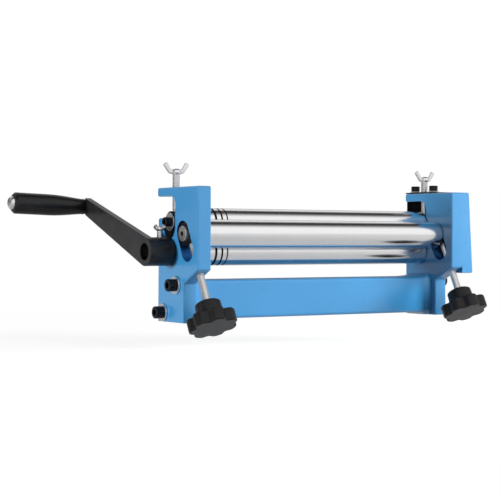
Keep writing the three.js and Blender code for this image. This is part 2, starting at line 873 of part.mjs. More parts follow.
function crankArm() {
  const hubRadius = hubDiameter / 2;
  const endHalf = armEndHeight / 2;
  const spread = Math.asin((hubRadius - endHalf) / crankRadius);
  const upperAngle = crankAngle / degree - spread / degree;
  const lowerAngle = crankAngle / degree + spread / degree;
  const hubArc = arc(0, 0, hubRadius, 90 + upperAngle, 270 + lowerAngle);
  const outline = [
    ...hubArc,
    new THREE.Vector2(armEndY, gripAxisZ - endHalf),
    new THREE.Vector2(armEndY, gripAxisZ + endHalf),
  ];
  const blade = plateAlongX(outline, armOuterX, armThickness, armEdge);
  const tongueOutline = [
    new THREE.Vector2(armEndY - 6, gripAxisZ + endHalf - 2.5),
    new THREE.Vector2(armEndY - 6, gripAxisZ - endHalf + 1),
    ...arc(gripAxisY, gripAxisZ, endHalf - 1.5, -90, 90),
  ];
  const tongue = plateAlongX(tongueOutline, tongueOuterX, tongueThickness);
  const hub = rodX(hubInnerX, armOuterX + cutOver, 0, 0, hubRadius, rollerSteps);
  const clampX = -outerFaceX - clampScrewX;
  const gripSeat = new THREE.Vector3(gripInnerX, gripAxisY, gripAxisZ);
  const gripLine = new THREE.Vector3(Math.cos(gripTilt), 0, -Math.sin(gripTilt));
  const gripHole = rod(
    gripSeat.clone().addScaledVector(gripLine, -gripGap - tongueThickness),
    gripSeat.clone().addScaledVector(gripLine, armThickness + 2),
    m8.diameter / 2 + seatGap,
  );
  return blade
    .add(tongue)
    .add(hub)
    .subtract(rodX(hubInnerX + cutOver, armOuterX - cutOver, 0, 0, journalRadius + runningGap, rollerSteps))
    .subtract(rodX(crankBoreEndX, armOuterX - cutOver, 0, 0, hubBore / 2, rollerSteps))
    .subtract(gripHole)
    .subtract(rodZ(0, hubRadius + cutOver, clampX, 0, m6.diameter / 2 + seatGap));
}

function gripProfile() {
  const neck = gripNeckDiameter / 2;
  const full = gripDiameter / 2;
  const steps = 5;
  const swell = [];
  for (let i = 0; i <= steps; i += 1) {
    const t = i / steps;
    const x = gripNeckLength + (gripLength * 0.52 - gripNeckLength) * t;
    swell.push([neck + (full - neck) * Math.sin((t * Math.PI) / 2) ** 1.15, x]);
  }
  return [
    [m8.diameter / 2 + runningGap, 0],
    [neck - 0.8, 0],
    [neck, 0.8],
    ...swell,
    [full, gripLength - gripEdge],
    [full - gripEdge * 0.3, gripLength - gripEdge * 0.3],
    [full - gripEdge, gripLength],
    [m8.diameter / 2 + runningGap, gripLength],
    [m8.diameter / 2 + runningGap, 0],
  ];
}

// The grip starts on x = 0 and runs to -X.
function grip() {
  const profile = gripProfile().map(([r, h]) => new THREE.Vector2(r, h));
  const geometry = new THREE.LatheGeometry(profile, turnedSteps);
  geometry.rotateZ(Math.PI / 2);
  return toSolid(geometry);
}

// The bolt passes through the grip and ends in the arm, in the grip's own frame.
function gripBolt() {
  const radius = m8.diameter / 2;
  const head = gripHeadDiameter / 2;
  const seatX = -gripLength - faceGap;
  const faceX = seatX - gripHeadHeight;
  const body = revolved([
    [0, faceX],
    [head * 0.45, faceX],
    [head * 0.85, seatX - gripHeadHeight * 0.75],
    [head, seatX - gripHeadHeight * 0.3],
    [head, seatX],
    [radius, seatX],
    [radius, armInnerX - gripInnerX - gripBoltInset],
    [0, armInnerX - gripInnerX - gripBoltInset],
  ], screwSteps, 'x');
  const slotDepth = gripHeadHeight * 0.5;
  const [reach, half] = [gripSlotLength / 2, gripSlotWidth / 2];
  const across = box(faceX - 1, faceX + slotDepth, -reach, reach, -half, half);
  const down = box(faceX - 1, faceX + slotDepth, -half, half, -reach, reach);
  return body.subtract(across).subtract(down);
}

// Gear guard: one bent sheet over, outside and behind the gears, screwed to the right stand's arm

function gearGuard() {
  const outerX = guardInnerX + guardThickness;
  const tabX = innerFaceX + guardTabInset;
  const frontY = standFrontY + shieldDepth + guardFrontGap;
  const rearY = armRearY + faceGap + guardThickness;
  const topZ = standHeight + faceGap;
  const bentOutline = rounded([
    [tabX, topZ, 0],
    [guardInnerX, topZ, guardBend - guardThickness],
    [guardInnerX, guardBottomZ, 0],
    [outerX, guardBottomZ, 0],
    [outerX, guardTopZ, guardBend],
    [tabX, guardTopZ, 0],
  ]);
  const bent = plate(bentOutline, rearY - frontY);
  bent.rotateX(Math.PI / 2);
  bent.translate(0, rearY, 0);
  const frontNotch = box(
    tabX - cutOver,
    outerX + cutOver,
    frontY - cutOver,
    guardTabFrontY,
    guardShoulderZ,
    guardTopZ + cutOver,
  );
  const [rearStartX, rearEndX] = [tabX + 2 * guardThickness, outerX - guardThickness / 2];
  const rearTopZ = guardTopZ - guardThickness / 2;
  const rear = box(rearStartX, rearEndX, rearY - guardThickness, rearY, guardBottomZ, rearTopZ);
  const screwRadius = m6.diameter / 2 + runningGap;
  let guard = toSolid(bent).subtract(frontNotch).add(rear);
  [-1, 1].forEach((end) => {
    const y = (end * guardScrewSpacing) / 2;
    guard = guard.subtract(rodZ(topZ - cutOver, guardTopZ + cutOver, standMiddleX, y, screwRadius));
  });
  const boltRadius = m8.diameter / 2 + runningGap;
  return guard.subtract(rodZ(topZ - cutOver, guardTopZ + cutOver, standMiddleX, 0, boltRadius));
}

// Assembly

const machine = new THREE.Group();
const frame = new THREE.Group();
frame.add(piece('left_stand', leftStand(), bluePaint));
frame.add(piece('right_stand', rightStand(), bluePaint));
frame.add(piece('cross_beam', crossBeam(), bluePaint));
frame.add(piece('gear_guard', gearGuard(), blackPaint));

[['left', -1], ['right', 1]].forEach(([sideName, side]) => {
  const bush = piece(`lower_bush_${sideName}`, lowerBush(), bushBronze);
  bush.position.set(side < 0 ? -outerFaceX : innerFaceX, 0, lowerAxisZ);
  frame.add(bush);
  [['upper', beamScrewUpper], ['lower', beamScrewLower]].forEach(([place, { y, z }]) => {
    const disc = washerX(beamWasherDiameter, beamWasherThickness, m8.diameter);
    const washer = piece(`beam_washer_${sideName}_${place}`, disc, brightZinc);
    const startX = side < 0 ? -outerFaceX - faceGap - beamWasherThickness : outerFaceX + faceGap;
    washer.position.set(startX, y, z);
    const bolt = capScrew(m8, beamScrewLength, side);
    const screw = piece(`beam_screw_${sideName}_${place}`, bolt, blackOxide);
    screw.position.set(side * (outerFaceX + 2 * faceGap + beamWasherThickness), y, z);
    frame.add(washer, screw);
  });
});

[['front', -1], ['rear', 1]].forEach(([endName, end]) => {
  const y = (end * guardScrewSpacing) / 2;
  const disc = washerZ(guardWasherDiameter, guardWasherThickness, m6.diameter);
  const washer = piece(`guard_washer_${endName}`, disc, brightZinc);
  washer.position.set(standMiddleX, y, guardTopZ + faceGap);
  const screw = piece(`guard_screw_${endName}`, capScrew(m6, guardScrewLength, 0), blackOxide);
  screw.position.set(standMiddleX, y, guardTopZ + 2 * faceGap + guardWasherThickness);
  frame.add(washer, screw);
});

// Lower roller, driven by the crank
const lowerDrive = new THREE.Group();
lowerDrive.position.set(0, 0, lowerAxisZ);
lowerDrive.add(piece('lower_roller', lowerRoller(), chrome));
lowerDrive.add(piece('lower_gear', gear(Math.PI / 2), gearSteel));
lowerDrive.add(piece('lower_gear_key', gearKey(), gearSteel));
lowerDrive.add(piece('lower_gear_ring', retainingRing(), blackOxide));
lowerDrive.add(piece('crank_arm', crankArm(), blackPaint));
// The grip and its bolt lean up a little towards their free end.
[piece('grip_bolt', gripBolt(), brightZinc), piece('grip', grip(), blackPlastic)].forEach((mesh) => {
  mesh.position.set(gripInnerX, gripAxisY, gripAxisZ);
  mesh.rotation.y = gripTilt;
  lowerDrive.add(mesh);
});
const clampShaft = hubDiameter / 2 - journalRadius + clampFlatDepth - faceGap + clampScrewRise;
const clampScrew = piece('crank_clamp_screw', wingScrew(m6.diameter, clampShaft, clampWing), brightZinc);
clampScrew.position.set(-outerFaceX - clampScrewX, 0, journalRadius - clampFlatDepth + faceGap);
clampScrew.rotation.z = Math.PI / 2;
lowerDrive.add(clampScrew);

// Upper roller in its sliding blocks, pressed down by two wing bolts
const upperDrive = new THREE.Group();
upperDrive.position.set(0, 0, upperAxisZ);
upperDrive.add(piece('upper_roller', upperRoller(), chrome));
upperDrive.add(piece('upper_gear', gear(Math.PI / 2 + Math.PI / gearTeeth), gearSteel));
upperDrive.add(piece('upper_gear_key', gearKey(), gearSteel));
upperDrive.add(piece('upper_gear_ring', retainingRing(), blackOxide));
const endDisc = washerX(endWasherDiameter, endWasherThickness, m6.diameter);
const endWasher = piece('upper_end_washer', endDisc, brightZinc);
endWasher.position.x = -blockOuterX - 2 * faceGap - endWasherThickness;
const endScrew = piece('upper_end_screw', capScrew(m6, endScrewLength, -1), blackOxide);
endScrew.position.x = -blockOuterX - 3 * faceGap - endWasherThickness;
upperDrive.add(endWasher, endScrew);

[['left', -1], ['right', 1]].forEach(([sideName, side], i) => {
  const block = piece(`upper_block_${sideName}`, upperBlock(), blackOxide);
  block.position.x = side < 0 ? -blockOuterX : blockInnerX;
  const shaft = standHeight + pinchBoltRise - upperAxisZ - blockTopAboveAxis - faceGap;
  const bolt = piece(`pinch_bolt_${sideName}`, wingScrew(m8.diameter, shaft, pinchWing), brightZinc);
  bolt.position.set(side * standMiddleX, 0, blockTopAboveAxis + faceGap);
  bolt.rotation.z = pinchWingTurns[i] * degree;
  upperDrive.add(block, bolt);
});

// Bending roller, its blocks, and the star knobs that push them up the slanted slots
const bendingSet = new THREE.Group();
bendingSet.position.set(0, bendingRestY, bendingRestZ);
bendingSet.rotation.x = -slant;
bendingSet.add(piece('bending_roller', bendingRoller(), chrome));
[['left', -1], ['right', 1]].forEach(([sideName, side]) => {
  const block = piece(`bending_block_${sideName}`, bendingBlock(), blackOxide);
  if (side < 0) {
    block.rotation.z = Math.PI;
  }
  block.position.x = side * blockInnerX;
  const screw = piece(`knob_screw_${sideName}`, knobScrew(knobHubTop[sideName]), brightZinc);
  screw.position.x = side * standMiddleX;
  const knob = piece(`star_knob_${sideName}`, starKnob(), blackPlastic);
  knob.position.set(side * standMiddleX, 0, -knobHubTop[sideName]);
  bendingSet.add(block, screw, knob);
});

machine.add(frame, lowerDrive, upperDrive, bendingSet);

// The origin is the middle of the left foot's face on the bench.
machine.position.set(standMiddleX, -(legFrontY + legRearY) / 2, 0);

export default machine;
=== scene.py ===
"""Finished look of a hand-cranked slip roll machine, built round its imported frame.

Sizes are in millimetres of the machine's middle frame: x = 0 midway between the stands, y = 0 in
the plane of the two pinch rollers, z = 0 on the bench. Each finished piece is put in metres in the
row frame, whose origin is the middle of the left foot.
"""

import json
import logging
import math
from collections.abc import Sequence
from dataclasses import dataclass
from enum import Enum

import bmesh
import bpy
import numpy as np
from mathutils import Matrix, Vector
from mathutils.geometry import tessellate_polygon


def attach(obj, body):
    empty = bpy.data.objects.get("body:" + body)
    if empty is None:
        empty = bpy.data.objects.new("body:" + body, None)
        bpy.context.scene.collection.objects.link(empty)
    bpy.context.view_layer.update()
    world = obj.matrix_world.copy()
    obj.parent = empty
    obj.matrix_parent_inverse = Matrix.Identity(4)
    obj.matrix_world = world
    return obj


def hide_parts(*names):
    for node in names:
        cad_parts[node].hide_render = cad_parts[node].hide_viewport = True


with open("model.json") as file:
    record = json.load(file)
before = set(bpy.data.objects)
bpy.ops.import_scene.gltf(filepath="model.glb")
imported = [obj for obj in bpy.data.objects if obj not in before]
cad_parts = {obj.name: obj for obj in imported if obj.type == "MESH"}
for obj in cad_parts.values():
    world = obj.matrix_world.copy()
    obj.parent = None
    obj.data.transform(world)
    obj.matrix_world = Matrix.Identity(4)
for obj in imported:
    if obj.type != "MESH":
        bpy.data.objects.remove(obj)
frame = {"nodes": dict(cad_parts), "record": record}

Array = np.ndarray
Point = tuple[float, float, float]
Corners = Sequence[tuple[float, ...]]
Colour = tuple[float, float, float]
Span = tuple[float, float]
Socket = bpy.types.NodeSocket

LOG = logging.getLogger("slip_roll")
MILLIMETRE = 0.001
ROW_SHIFT = np.array([168.0, 2.9, 0.0])
TURN = 2 * math.pi
SIDES: dict[str, int] = {"left": -1, "right": 1}
# Points closer than this many millimetres become one.
MERGE = 0.004
# Edges shorter than this many metres are dissolved.
NEEDLE = 1e-7


# Placing, outlines and surfaces


@dataclass(frozen=True)
class Placement:
    """A local frame: where a piece's own axes point in the machine."""

    origin: Point = (0.0, 0.0, 0.0)
    across: Point = (1.0, 0.0, 0.0)
    up: Point = (0.0, 1.0, 0.0)
    along: Point = (0.0, 0.0, 1.0)

    def apply(self, local: Array) -> Array:
        """Local points (n, 3) in the outer frame: origin plus each coordinate times its axis."""
        return np.array(self.origin) + local @ np.array([self.across, self.up, self.along])


def along_x(x: float, y: float, z: float) -> Placement:
    """A frame at (x, y, z) whose length runs along the rollers."""
    return Placement((x, y, z), (0, 1, 0), (0, 0, 1), (1, 0, 0))


def along_minus_x(x: float, y: float, z: float) -> Placement:
    """A frame at (x, y, z) whose length runs from the gears towards the crank."""
    return Placement((x, y, z), (0, 0, 1), (0, 1, 0), (-1, 0, 0))


def upright(x: float, y: float, z: float, turn: float = 0.0) -> Placement:
    """A frame at (x, y, z) whose length points up, turned about it by an angle in degrees."""
    c, s = math.cos(math.radians(turn)), math.sin(math.radians(turn))
    return Placement((x, y, z), (c, s, 0), (-s, c, 0), (0, 0, 1))


def unit(vectors: Array) -> Array:
    """The rows of an array scaled to length one."""
    return vectors / np.maximum(np.linalg.norm(vectors, axis=-1, keepdims=True), 1e-12)


@dataclass
class Outline:
    """A closed loop in a plane, with the radius to which each point's edge is rounded.

    Material lies to the left of the loop, so an outer loop runs anticlockwise and a hole clockwise.
    """

    points: Array
    edge: Array

    @classmethod
    def rounded(cls, corners: Corners, edge: float = 0.0, steps: int = 8) -> "Outline":
        """Each corner becomes an arc that is tangent to its two sides.

        The arc's centre lies on the bisector, at the radius over the sine of half the angle.

        Args:
            corners: Rows of two coordinates, the corner's radius and, if given, its edge radius.
            edge: Edge radius of the corners that give none.
            steps: Steps of each arc.

        Returns:
            The loop.
        """
        rows = np.array([(*c, edge)[:4] if len(c) == 3 else c for c in corners], float)
        point, radius = rows[:, :2], rows[:, 2:3]
        back = unit(np.roll(point, 1, 0) - point)
        ahead = unit(np.roll(point, -1, 0) - point)
        half = np.arccos(np.clip((back * ahead).sum(1, keepdims=True), -1, 1)) / 2
        half = np.clip(half, 1e-3, math.pi / 2)
        centre = point + unit(back + ahead) * radius / np.sin(half)
        start = point + back * radius / np.tan(half) - centre
        sense = np.sign(back[:, 1:] * ahead[:, :1] - back[:, :1] * ahead[:, 1:])
        angle = sense * (math.pi - 2 * half) * np.linspace(0, 1, steps + 1)
        u = centre[:, :1] + start[:, :1] * np.cos(angle) - start[:, 1:] * np.sin(angle)
        v = centre[:, 1:] + start[:, :1] * np.sin(angle) + start[:, 1:] * np.cos(angle)
        loop = np.stack([u, v], -1).reshape(-1, 2)
        edges = np.repeat(rows[:, 3], steps + 1)
        apart = np.linalg.norm(loop - np.roll(loop, 1, 0), axis=1) > 1e-6
        return cls(loop[apart], edges[apart])

    @classmethod
    def polar(cls, radius: Array, angle: Array, centre: tuple[float, float],
              edge: float) -> "Outline":
        """A loop of points at given radii and angles about a centre."""
        loop = np.stack([radius * np.cos(angle), radius * np.sin(angle)], -1) + np.array(centre)
        return cls(loop, np.full(len(loop), edge))

    @classmethod
    def circle(cls, radius: float, centre: tuple[float, float] = (0, 0), edge: float = 0.0,
               steps: int = 64) -> "Outline":
        """A full circle."""
        angle = np.arange(steps) * TURN / steps
        return cls.polar(np.full(steps, radius), angle, centre, edge)

    def hole(self) -> "Outline":
        """The same loop the other way round, as the border of a hole."""
        return Outline(self.points[::-1], self.edge[::-1])

    def moved(self, angle: float, shift: tuple[float, float]) -> "Outline":
        """The loop turned about its origin by an angle in degrees, then shifted."""
        c, s = math.cos(math.radians(angle)), math.sin(math.radians(angle))
        return Outline(self.points @ np.array([[c, s], [-s, c]]) + np.array(shift), self.edge)

    def inward(self) -> Array:
        """How far each point moves into the material for an inset of one.

        The sum of the two neighbouring sides' left normals over one plus their dot product.

        Returns:
            The moves (n, 2).
        """
        side = unit(np.roll(self.points, -1, 0) - self.points)
        after = np.stack([-side[:, 1], side[:, 0]], -1)
        before = np.roll(after, 1, 0)
        return (before + after) / (1 + (before * after).sum(1, keepdims=True))


@dataclass
class Skin:
    """Points and blocks of faces that join them, with the numbers of their finishes.

    A block's finish is the skin's own number plus the block's extra.
    """

    points: Array
    faces: list[Array]
    finish: int = 0
    extra: tuple[int, ...] = ()

    def placed(self, place: Placement) -> "Skin":
        """The same surface in an outer frame."""
        return Skin(place.apply(self.points), self.faces, self.finish, self.extra)


def grid_faces(rows: int, columns: int, closed: bool = True) -> Array:
    """Quads between neighbouring rows and columns of a grid of points.

    Args:
        rows: Rows of points.
        columns: Points in a row.
        closed: Whether the last column joins the first.

    Returns:
        Point numbers (faces, 4).
    """
    row = np.arange(rows - 1)[:, None] * columns
    column = np.arange(columns if closed else columns - 1)[None, :]
    beside = (column + 1) % columns
    corners = [row + column, row + beside, row + columns + beside, row + columns + column]
    return np.stack(corners, -1).reshape(-1, 4)


def spun(radii: Array, heights: Array, finish: int = 0) -> Skin:
    """A surface round an axis.

    Row i, column j lies at radius r(i, j), height h(i) and angle 2 pi j / n. A row of radius zero
    is a pole once doubles are merged.

    Args:
        radii: Radii (rows, steps).
        heights: Heights (rows).
        finish: Number of the finish.

    Returns:
        The surface.
    """
    angle = np.arange(radii.shape[1]) * TURN / radii.shape[1]
    height = np.broadcast_to(heights[:, None], radii.shape)
    points = np.stack([radii * np.cos(angle), radii * np.sin(angle), height], -1)
    return Skin(points.reshape(-1, 3), [grid_faces(*radii.shape)], finish)


def profile(corners: Corners, steps: int = 5) -> Array:
    """Radius and height along an open line whose corners (radius, height, rounding) are rounded."""
    rows = [(*c, 0.0) if len(c) == 2 else c for c in corners]
    return Outline.rounded(rows, 0.0, steps).points


def turned(line: Array, steps: int, finish: int = 0) -> Skin:
    """A surface of revolution of a line of radii and heights."""
    return spun(np.repeat(line[:, :1], steps, 1), line[:, 1], finish)


def lathe(corners: Corners, steps: int = 64, finish: int = 0) -> Skin:
    """A surface of revolution of a line whose corners (radius, height, rounding) are rounded."""
    return turned(profile(corners), steps, finish)


def ring(corners: Corners, steps: int = 64) -> Skin:
    """A closed ring of revolution: the line's last corner joins its first."""
    line = profile(corners, 6)
    return turned(np.concatenate([line, line[:1]]), steps)


def slab(outer: Outline, low: float, high: float, holes: tuple[Outline, ...] = (), steps: int = 5,
         levels: tuple[float, ...] = (), wall_finish: int = 0) -> Skin:
    """A plate with rounded edges.

    Each loop is stacked in rows. Over the quarter turn t of an edge of radius e the row lies at
    depth e (1 - cos t) below the face and is inset by e (1 - sin t). The faces are the loops of the
    first and last rows, cut into triangles.

    Args:
        outer: The border.
        low: Height of the lower face.
        high: Height of the upper face.
        holes: Borders of holes, clockwise.
        steps: Steps of each rounded edge.
        levels: Heights of further rows between the faces.
        wall_finish: Number of the finish of the holes' walls.

    Returns:
        The closed surface.
    """
    turn = np.linspace(0, math.pi / 2, steps + 1)
    inset, depth = 1 - np.sin(turn), 1 - np.cos(turn)
    insets = np.concatenate([inset, np.zeros(len(levels)), inset[::-1]])
    rows = len(insets)
    points: list[Array] = []
    faces: list[Array] = []
    first: list[Array] = []
    last: list[Array] = []
    offset = 0
    for loop in (outer, *holes):
        count = len(loop.points)
        flat = loop.points + loop.inward() * loop.edge[:, None] * insets[:, None, None]
        between = np.repeat(np.array(levels, float)[:, None], count, 1)
        height = np.concatenate([low + depth[:, None] * loop.edge, between,
                                 high - depth[::-1, None] * loop.edge])
        points.append(np.concatenate([flat, height[..., None]], -1).reshape(-1, 3))
        faces.append(grid_faces(rows, count) + offset)
        first.append(offset + np.arange(count))
        last.append(offset + (rows - 1) * count + np.arange(count))
        offset += rows * count
    every = np.concatenate(points)
    for rings in (first, last):
        numbers = np.concatenate(rings)
        triangles = tessellate_polygon([every[r].tolist() for r in rings])
        faces.append(numbers[np.array(triangles, int)])
    walls = (0, *(wall_finish for _ in holes), 0, 0)
    return Skin(every, faces, 0, walls)


def thread(radius: float, pitch: float, low: float, high: float, depth: float) -> Skin:
    """A right-hand screw thread as a ridge of four-cornered section carried along a helix.

    The helix rises one pitch a turn. The ridge's height grows from nothing over its first half turn
    and fades over its last. Its foot is buried a little in the screw's core.

    Args:
        radius: Outer radius.
        pitch: Rise of one turn.
        low: Height at which it starts.
        high: Height at which it ends.
        depth: Height of the ridge.

    Returns:
        The closed ridge.
    """
    steps, ramp, least, sunk = 24, 0.5, 0.02, 0.15
    half_foot, half_crest = 0.47, 0.1
    turns = (high - low - pitch) / pitch
    t = np.linspace(0, turns, int(turns * steps) + 1)[:, None]
    fade = np.clip(np.minimum(t, turns - t) / ramp, least, 1)
    reach = np.array([0.0, 1.0, 1.0, 0.0]) * depth * fade
    r = np.where(reach > 0, radius - depth + reach, radius - depth - sunk)
    z = low + pitch * (t + 0.5 + np.array([-half_foot, -half_crest, half_crest, half_foot]))
    points = np.stack([r * np.cos(TURN * t), r * np.sin(TURN * t), z], -1).reshape(-1, 3)
    ends = np.array([[3, 2, 1, 0], [0, 1, 2, 3]]) + np.array([[0], [len(points) - 4]])
    return Skin(points, [grid_faces(len(t), 4), ends])


def mesh_of(name: str, skins: list[Skin]) -> bpy.types.Mesh:
    """A mesh in metres of the row frame, with doubles merged and faces outwards.

    Args:
        name: Name of the mesh.
        skins: Surfaces in millimetres of the machine's middle frame.

    Returns:
        The mesh.
    """
    offsets = np.cumsum([0, *(len(s.points) for s in skins)])
    points = (np.concatenate([s.points for s in skins]) + ROW_SHIFT) * MILLIMETRE
    parts = [(f + o, s.finish + extra) for s, o in zip(skins, offsets)
             for f, extra in zip(s.faces, s.extra or (0,) * len(s.faces))]
    mesh = bpy.data.meshes.new(name)
    mesh.from_pydata(points, [], [face for part, _ in parts for face in part.tolist()])
    finish = np.concatenate([np.full(len(part), number) for part, number in parts])
    mesh.polygons.foreach_set("material_index", finish.astype(np.int32))
    work = bmesh.new()
    work.from_mesh(mesh)
    bmesh.ops.remove_doubles(work, verts=work.verts, dist=MERGE * MILLIMETRE)
    bmesh.ops.dissolve_degenerate(work, edges=work.edges, dist=NEEDLE)
    bmesh.ops.recalc_face_normals(work, faces=work.faces)
    work.to_mesh(mesh)
    work.free()
    return mesh


def carved(name: str, body: list[Skin], hollows: list[Skin]) -> bpy.types.Mesh:
    """A mesh with the space of some closed surfaces cut out of it, one after another.

    Args:
        name: Name of the mesh.
        body: What is cut.
        hollows: Closed surfaces of the hollows.

    Returns:
        The mesh, with the hollows' walls.
    """
    kept = bpy.data.objects.new(name, mesh_of(name, body))
    tools = [bpy.data.objects.new("hollow", mesh_of("hollow", [hollow])) for hollow in hollows]
    for piece in (kept, *tools):
        bpy.context.scene.collection.objects.link(piece)
    for tool in tools:
        cut = kept.modifiers.new("hollow", "BOOLEAN")
        cut.operation, cut.solver, cut.object = "DIFFERENCE", "EXACT", tool
    bpy.context.view_layer.update()
    graph = bpy.context.evaluated_depsgraph_get()
    result = bpy.data.meshes.new_from_object(kept.evaluated_get(graph))
    for piece in (kept, *tools):
        bpy.data.objects.remove(piece)
    return result


# Finishes


class Signal:
    """A shader socket that takes part in sums: each operator adds one Math node."""

    def __init__(self, tree: bpy.types.NodeTree, socket: Socket) -> None:
        """Wraps an output socket of a node tree."""
        self.tree = tree
        self.socket = socket

    def maths(self, operation: str, *operands: "Signal | float") -> "Signal":
        """The result of one Math node.

        Args:
            operation: The node's operation.
            operands: Its inputs in order, signals or numbers.

        Returns:
            Its output.
        """
        node = self.tree.nodes.new("ShaderNodeMath")
        node.operation = operation
        for slot, operand in zip(node.inputs, operands):
            if isinstance(operand, Signal):
                self.tree.links.new(operand.socket, slot)
            else:
                slot.default_value = operand
        return Signal(self.tree, node.outputs[0])

    def __add__(self, other: "Signal | float") -> "Signal":
        """This plus other."""
        return self.maths("ADD", self, other)

    def __radd__(self, other: float) -> "Signal":
        """Other plus this."""
        return self.maths("ADD", other, self)

    def __sub__(self, other: "Signal | float") -> "Signal":
        """This minus other."""
        return self.maths("SUBTRACT", self, other)

    def __rsub__(self, other: float) -> "Signal":
        """Other minus this."""
        return self.maths("SUBTRACT", other, self)

    def __mul__(self, other: "Signal | float") -> "Signal":
        """This times other."""
        return self.maths("MULTIPLY", self, other)

    def __truediv__(self, other: float) -> "Signal":
        """This over other."""
        return self.maths("DIVIDE", self, other)

    def __pow__(self, power: float) -> "Signal":
        """This to a power."""
        return self.maths("POWER", self, power)

    def within(self, low: float, high: float) -> "Signal":
        """Nothing below low, one above high, and even between them."""
        return self.maths("MINIMUM", self.maths("MAXIMUM", (self - low) / (high - low), 0.0), 1.0)


def from_screen(code: int) -> Colour:
    """The linear colour of a hexadecimal screen colour.

    Args:
        code: Two digits each of red, green and blue.

    Returns:
        The colour.
    """
    shown = [((code >> shift) & 255) / 255 for shift in (16, 8, 0)]
    linear = [s / 12.92 if s <= 0.04045 else ((s + 0.055) / 1.055) ** 2.4 for s in shown]
    return (linear[0], linear[1], linear[2])


class Graph:
    """A node tree under construction, with one method for any node."""

    def __init__(self, tree: bpy.types.NodeTree) -> None:
        """Takes a tree and empties it."""
        self.tree = tree
        tree.nodes.clear()

    def node(self, kind: str, settings: dict[str, object] | None = None,
             **inputs: object) -> bpy.types.Node:
        """Adds a node: its settings first, then its inputs.

        Args:
            kind: Node type.
            settings: Properties to set.
            **inputs: Inputs by name with spaces as underscores: a Signal, a socket, a number or a
                tuple.

        Returns:
            The node.
        """
        node = self.tree.nodes.new(kind)
        for key, value in (settings or {}).items():
            setattr(node, key, value)
        for key, value in inputs.items():
            self.give(node, key.replace("_", " "), value)
        return node

    def give(self, node: bpy.types.Node, name: str, value: object) -> None:
        """Links or sets one input of a node.

        Args:
            node: The node.
            name: The input's name.
            value: A Signal, a socket, a number or a tuple.
        """
        slot = next(s for s in node.inputs if s.name == name and s.enabled)
        if isinstance(value, Signal):
            value = value.socket
        if isinstance(value, bpy.types.NodeSocket):
            self.tree.links.new(value, slot)
        elif isinstance(value, tuple) and slot.type == "RGBA":
            slot.default_value = (*value, 1.0)
        else:
            slot.default_value = value

    def join(self, kind: str, *sources: Socket, **settings: object) -> bpy.types.Node:
        """Adds a node and links its first inputs.

        Args:
            kind: Node type.
            *sources: What its inputs are linked to, in order.
            **settings: Properties to set.

        Returns:
            The node.
        """
        node = self.node(kind, settings)
        for slot, source in zip(node.inputs, sources):
            self.tree.links.new(source, slot)
        return node

    def signals(self, node: bpy.types.Node, *outputs: str) -> list[Signal]:
        """Named outputs of a node, for sums."""
        return [Signal(self.tree, node.outputs[name]) for name in outputs]

    def rays(self) -> tuple[Signal, Signal]:
        """What kind of ray meets the surface.

        Returns:
            One for rays from the camera, and one for rays from gloss or through glass.
        """
        seen, gloss, through = self.signals(self.node("ShaderNodeLightPath"), "Is Camera Ray",
                                            "Is Glossy Ray", "Is Transmission Ray")
        return seen, gloss + through

    def emission(self, strength: Signal) -> Socket:
        """A white glow."""
        node = self.node("ShaderNodeEmission", Color=(1.0, 1.0, 1.0), Strength=strength)
        return node.outputs[0]


class Recipe(Graph):
    """A material under construction."""

    def __init__(self, name: str) -> None:
        """Starts a material that has an output and a Principled shader.

        Args:
            name: Name of the material.
        """
        self.material = bpy.data.materials.new(name)
        self.material.use_nodes = True
        super().__init__(self.material.node_tree)
        self.output = self.node("ShaderNodeOutputMaterial")
        self.shader = self.node("ShaderNodeBsdfPrincipled")
        self.tree.links.new(self.shader.outputs[0], self.output.inputs["Surface"])

    def set(self, **inputs: object) -> None:
        """Links or sets inputs of the Principled shader."""
        for key, value in inputs.items():
            self.give(self.shader, key.replace("_", " "), value)

    def place(self, stretch: Point = (1.0, 1.0, 1.0)) -> Socket:
        """Object coordinates, stretched along each axis."""
        where = self.node("ShaderNodeTexCoord").outputs["Object"]
        return self.node("ShaderNodeMapping", Vector=where, Scale=stretch).outputs[0]

    def noise(self, scale: float, detail: float = 2.0, stretch: Point = (1.0, 1.0, 1.0)) -> Signal:
        """Smooth noise on Object coordinates.

        Args:
            scale: Waves a metre.
            detail: Layers of finer noise.
            stretch: Share of the scale along each axis.

        Returns:
            The noise, from nothing to one.
        """
        node = self.node("ShaderNodeTexNoise", Vector=self.place(stretch), Scale=scale,
                         Detail=detail)
        return Signal(self.tree, node.outputs["Fac"])

    def edges(self, radius: float) -> Signal:
        """Nothing on flat ground, rising where the surface bends within a radius.

        One minus the dot product of the surface's own normal and the one rounded over the radius.

        Args:
            radius: The radius, in metres.

        Returns:
            The rise.
        """
        rounded = self.node("ShaderNodeBevel", {"samples": 6}, Radius=radius).outputs[0]
        plain = self.node("ShaderNodeNewGeometry").outputs["Normal"]
        dot = self.join("ShaderNodeVectorMath", rounded, plain, operation="DOT_PRODUCT")
        return 1.0 - Signal(self.tree, dot.outputs["Value"])

    def blend(self, share: Signal, low: Colour | Socket, high: Colour) -> Socket:
        """A colour between two, by a share from nothing to one."""
        mix = self.node("ShaderNodeMix", {"data_type": "RGBA"}, Factor=share, A=low, B=high)
        return mix.outputs[2]

    def bump(self, height: Signal, distance: float, strength: float,
             under: Socket | None = None) -> Socket:
        """A normal bent by a height.

        Args:
            height: Height from nothing to one.
            distance: What a height of one means, in metres.
            strength: Share of the effect.
            under: Normal that it adds to.

        Returns:
            The normal.
        """
        node = self.node("ShaderNodeBump", Height=height, Distance=distance, Strength=strength)
        if under is not None:
            self.tree.links.new(under, node.inputs["Normal"])
        return node.outputs[0]


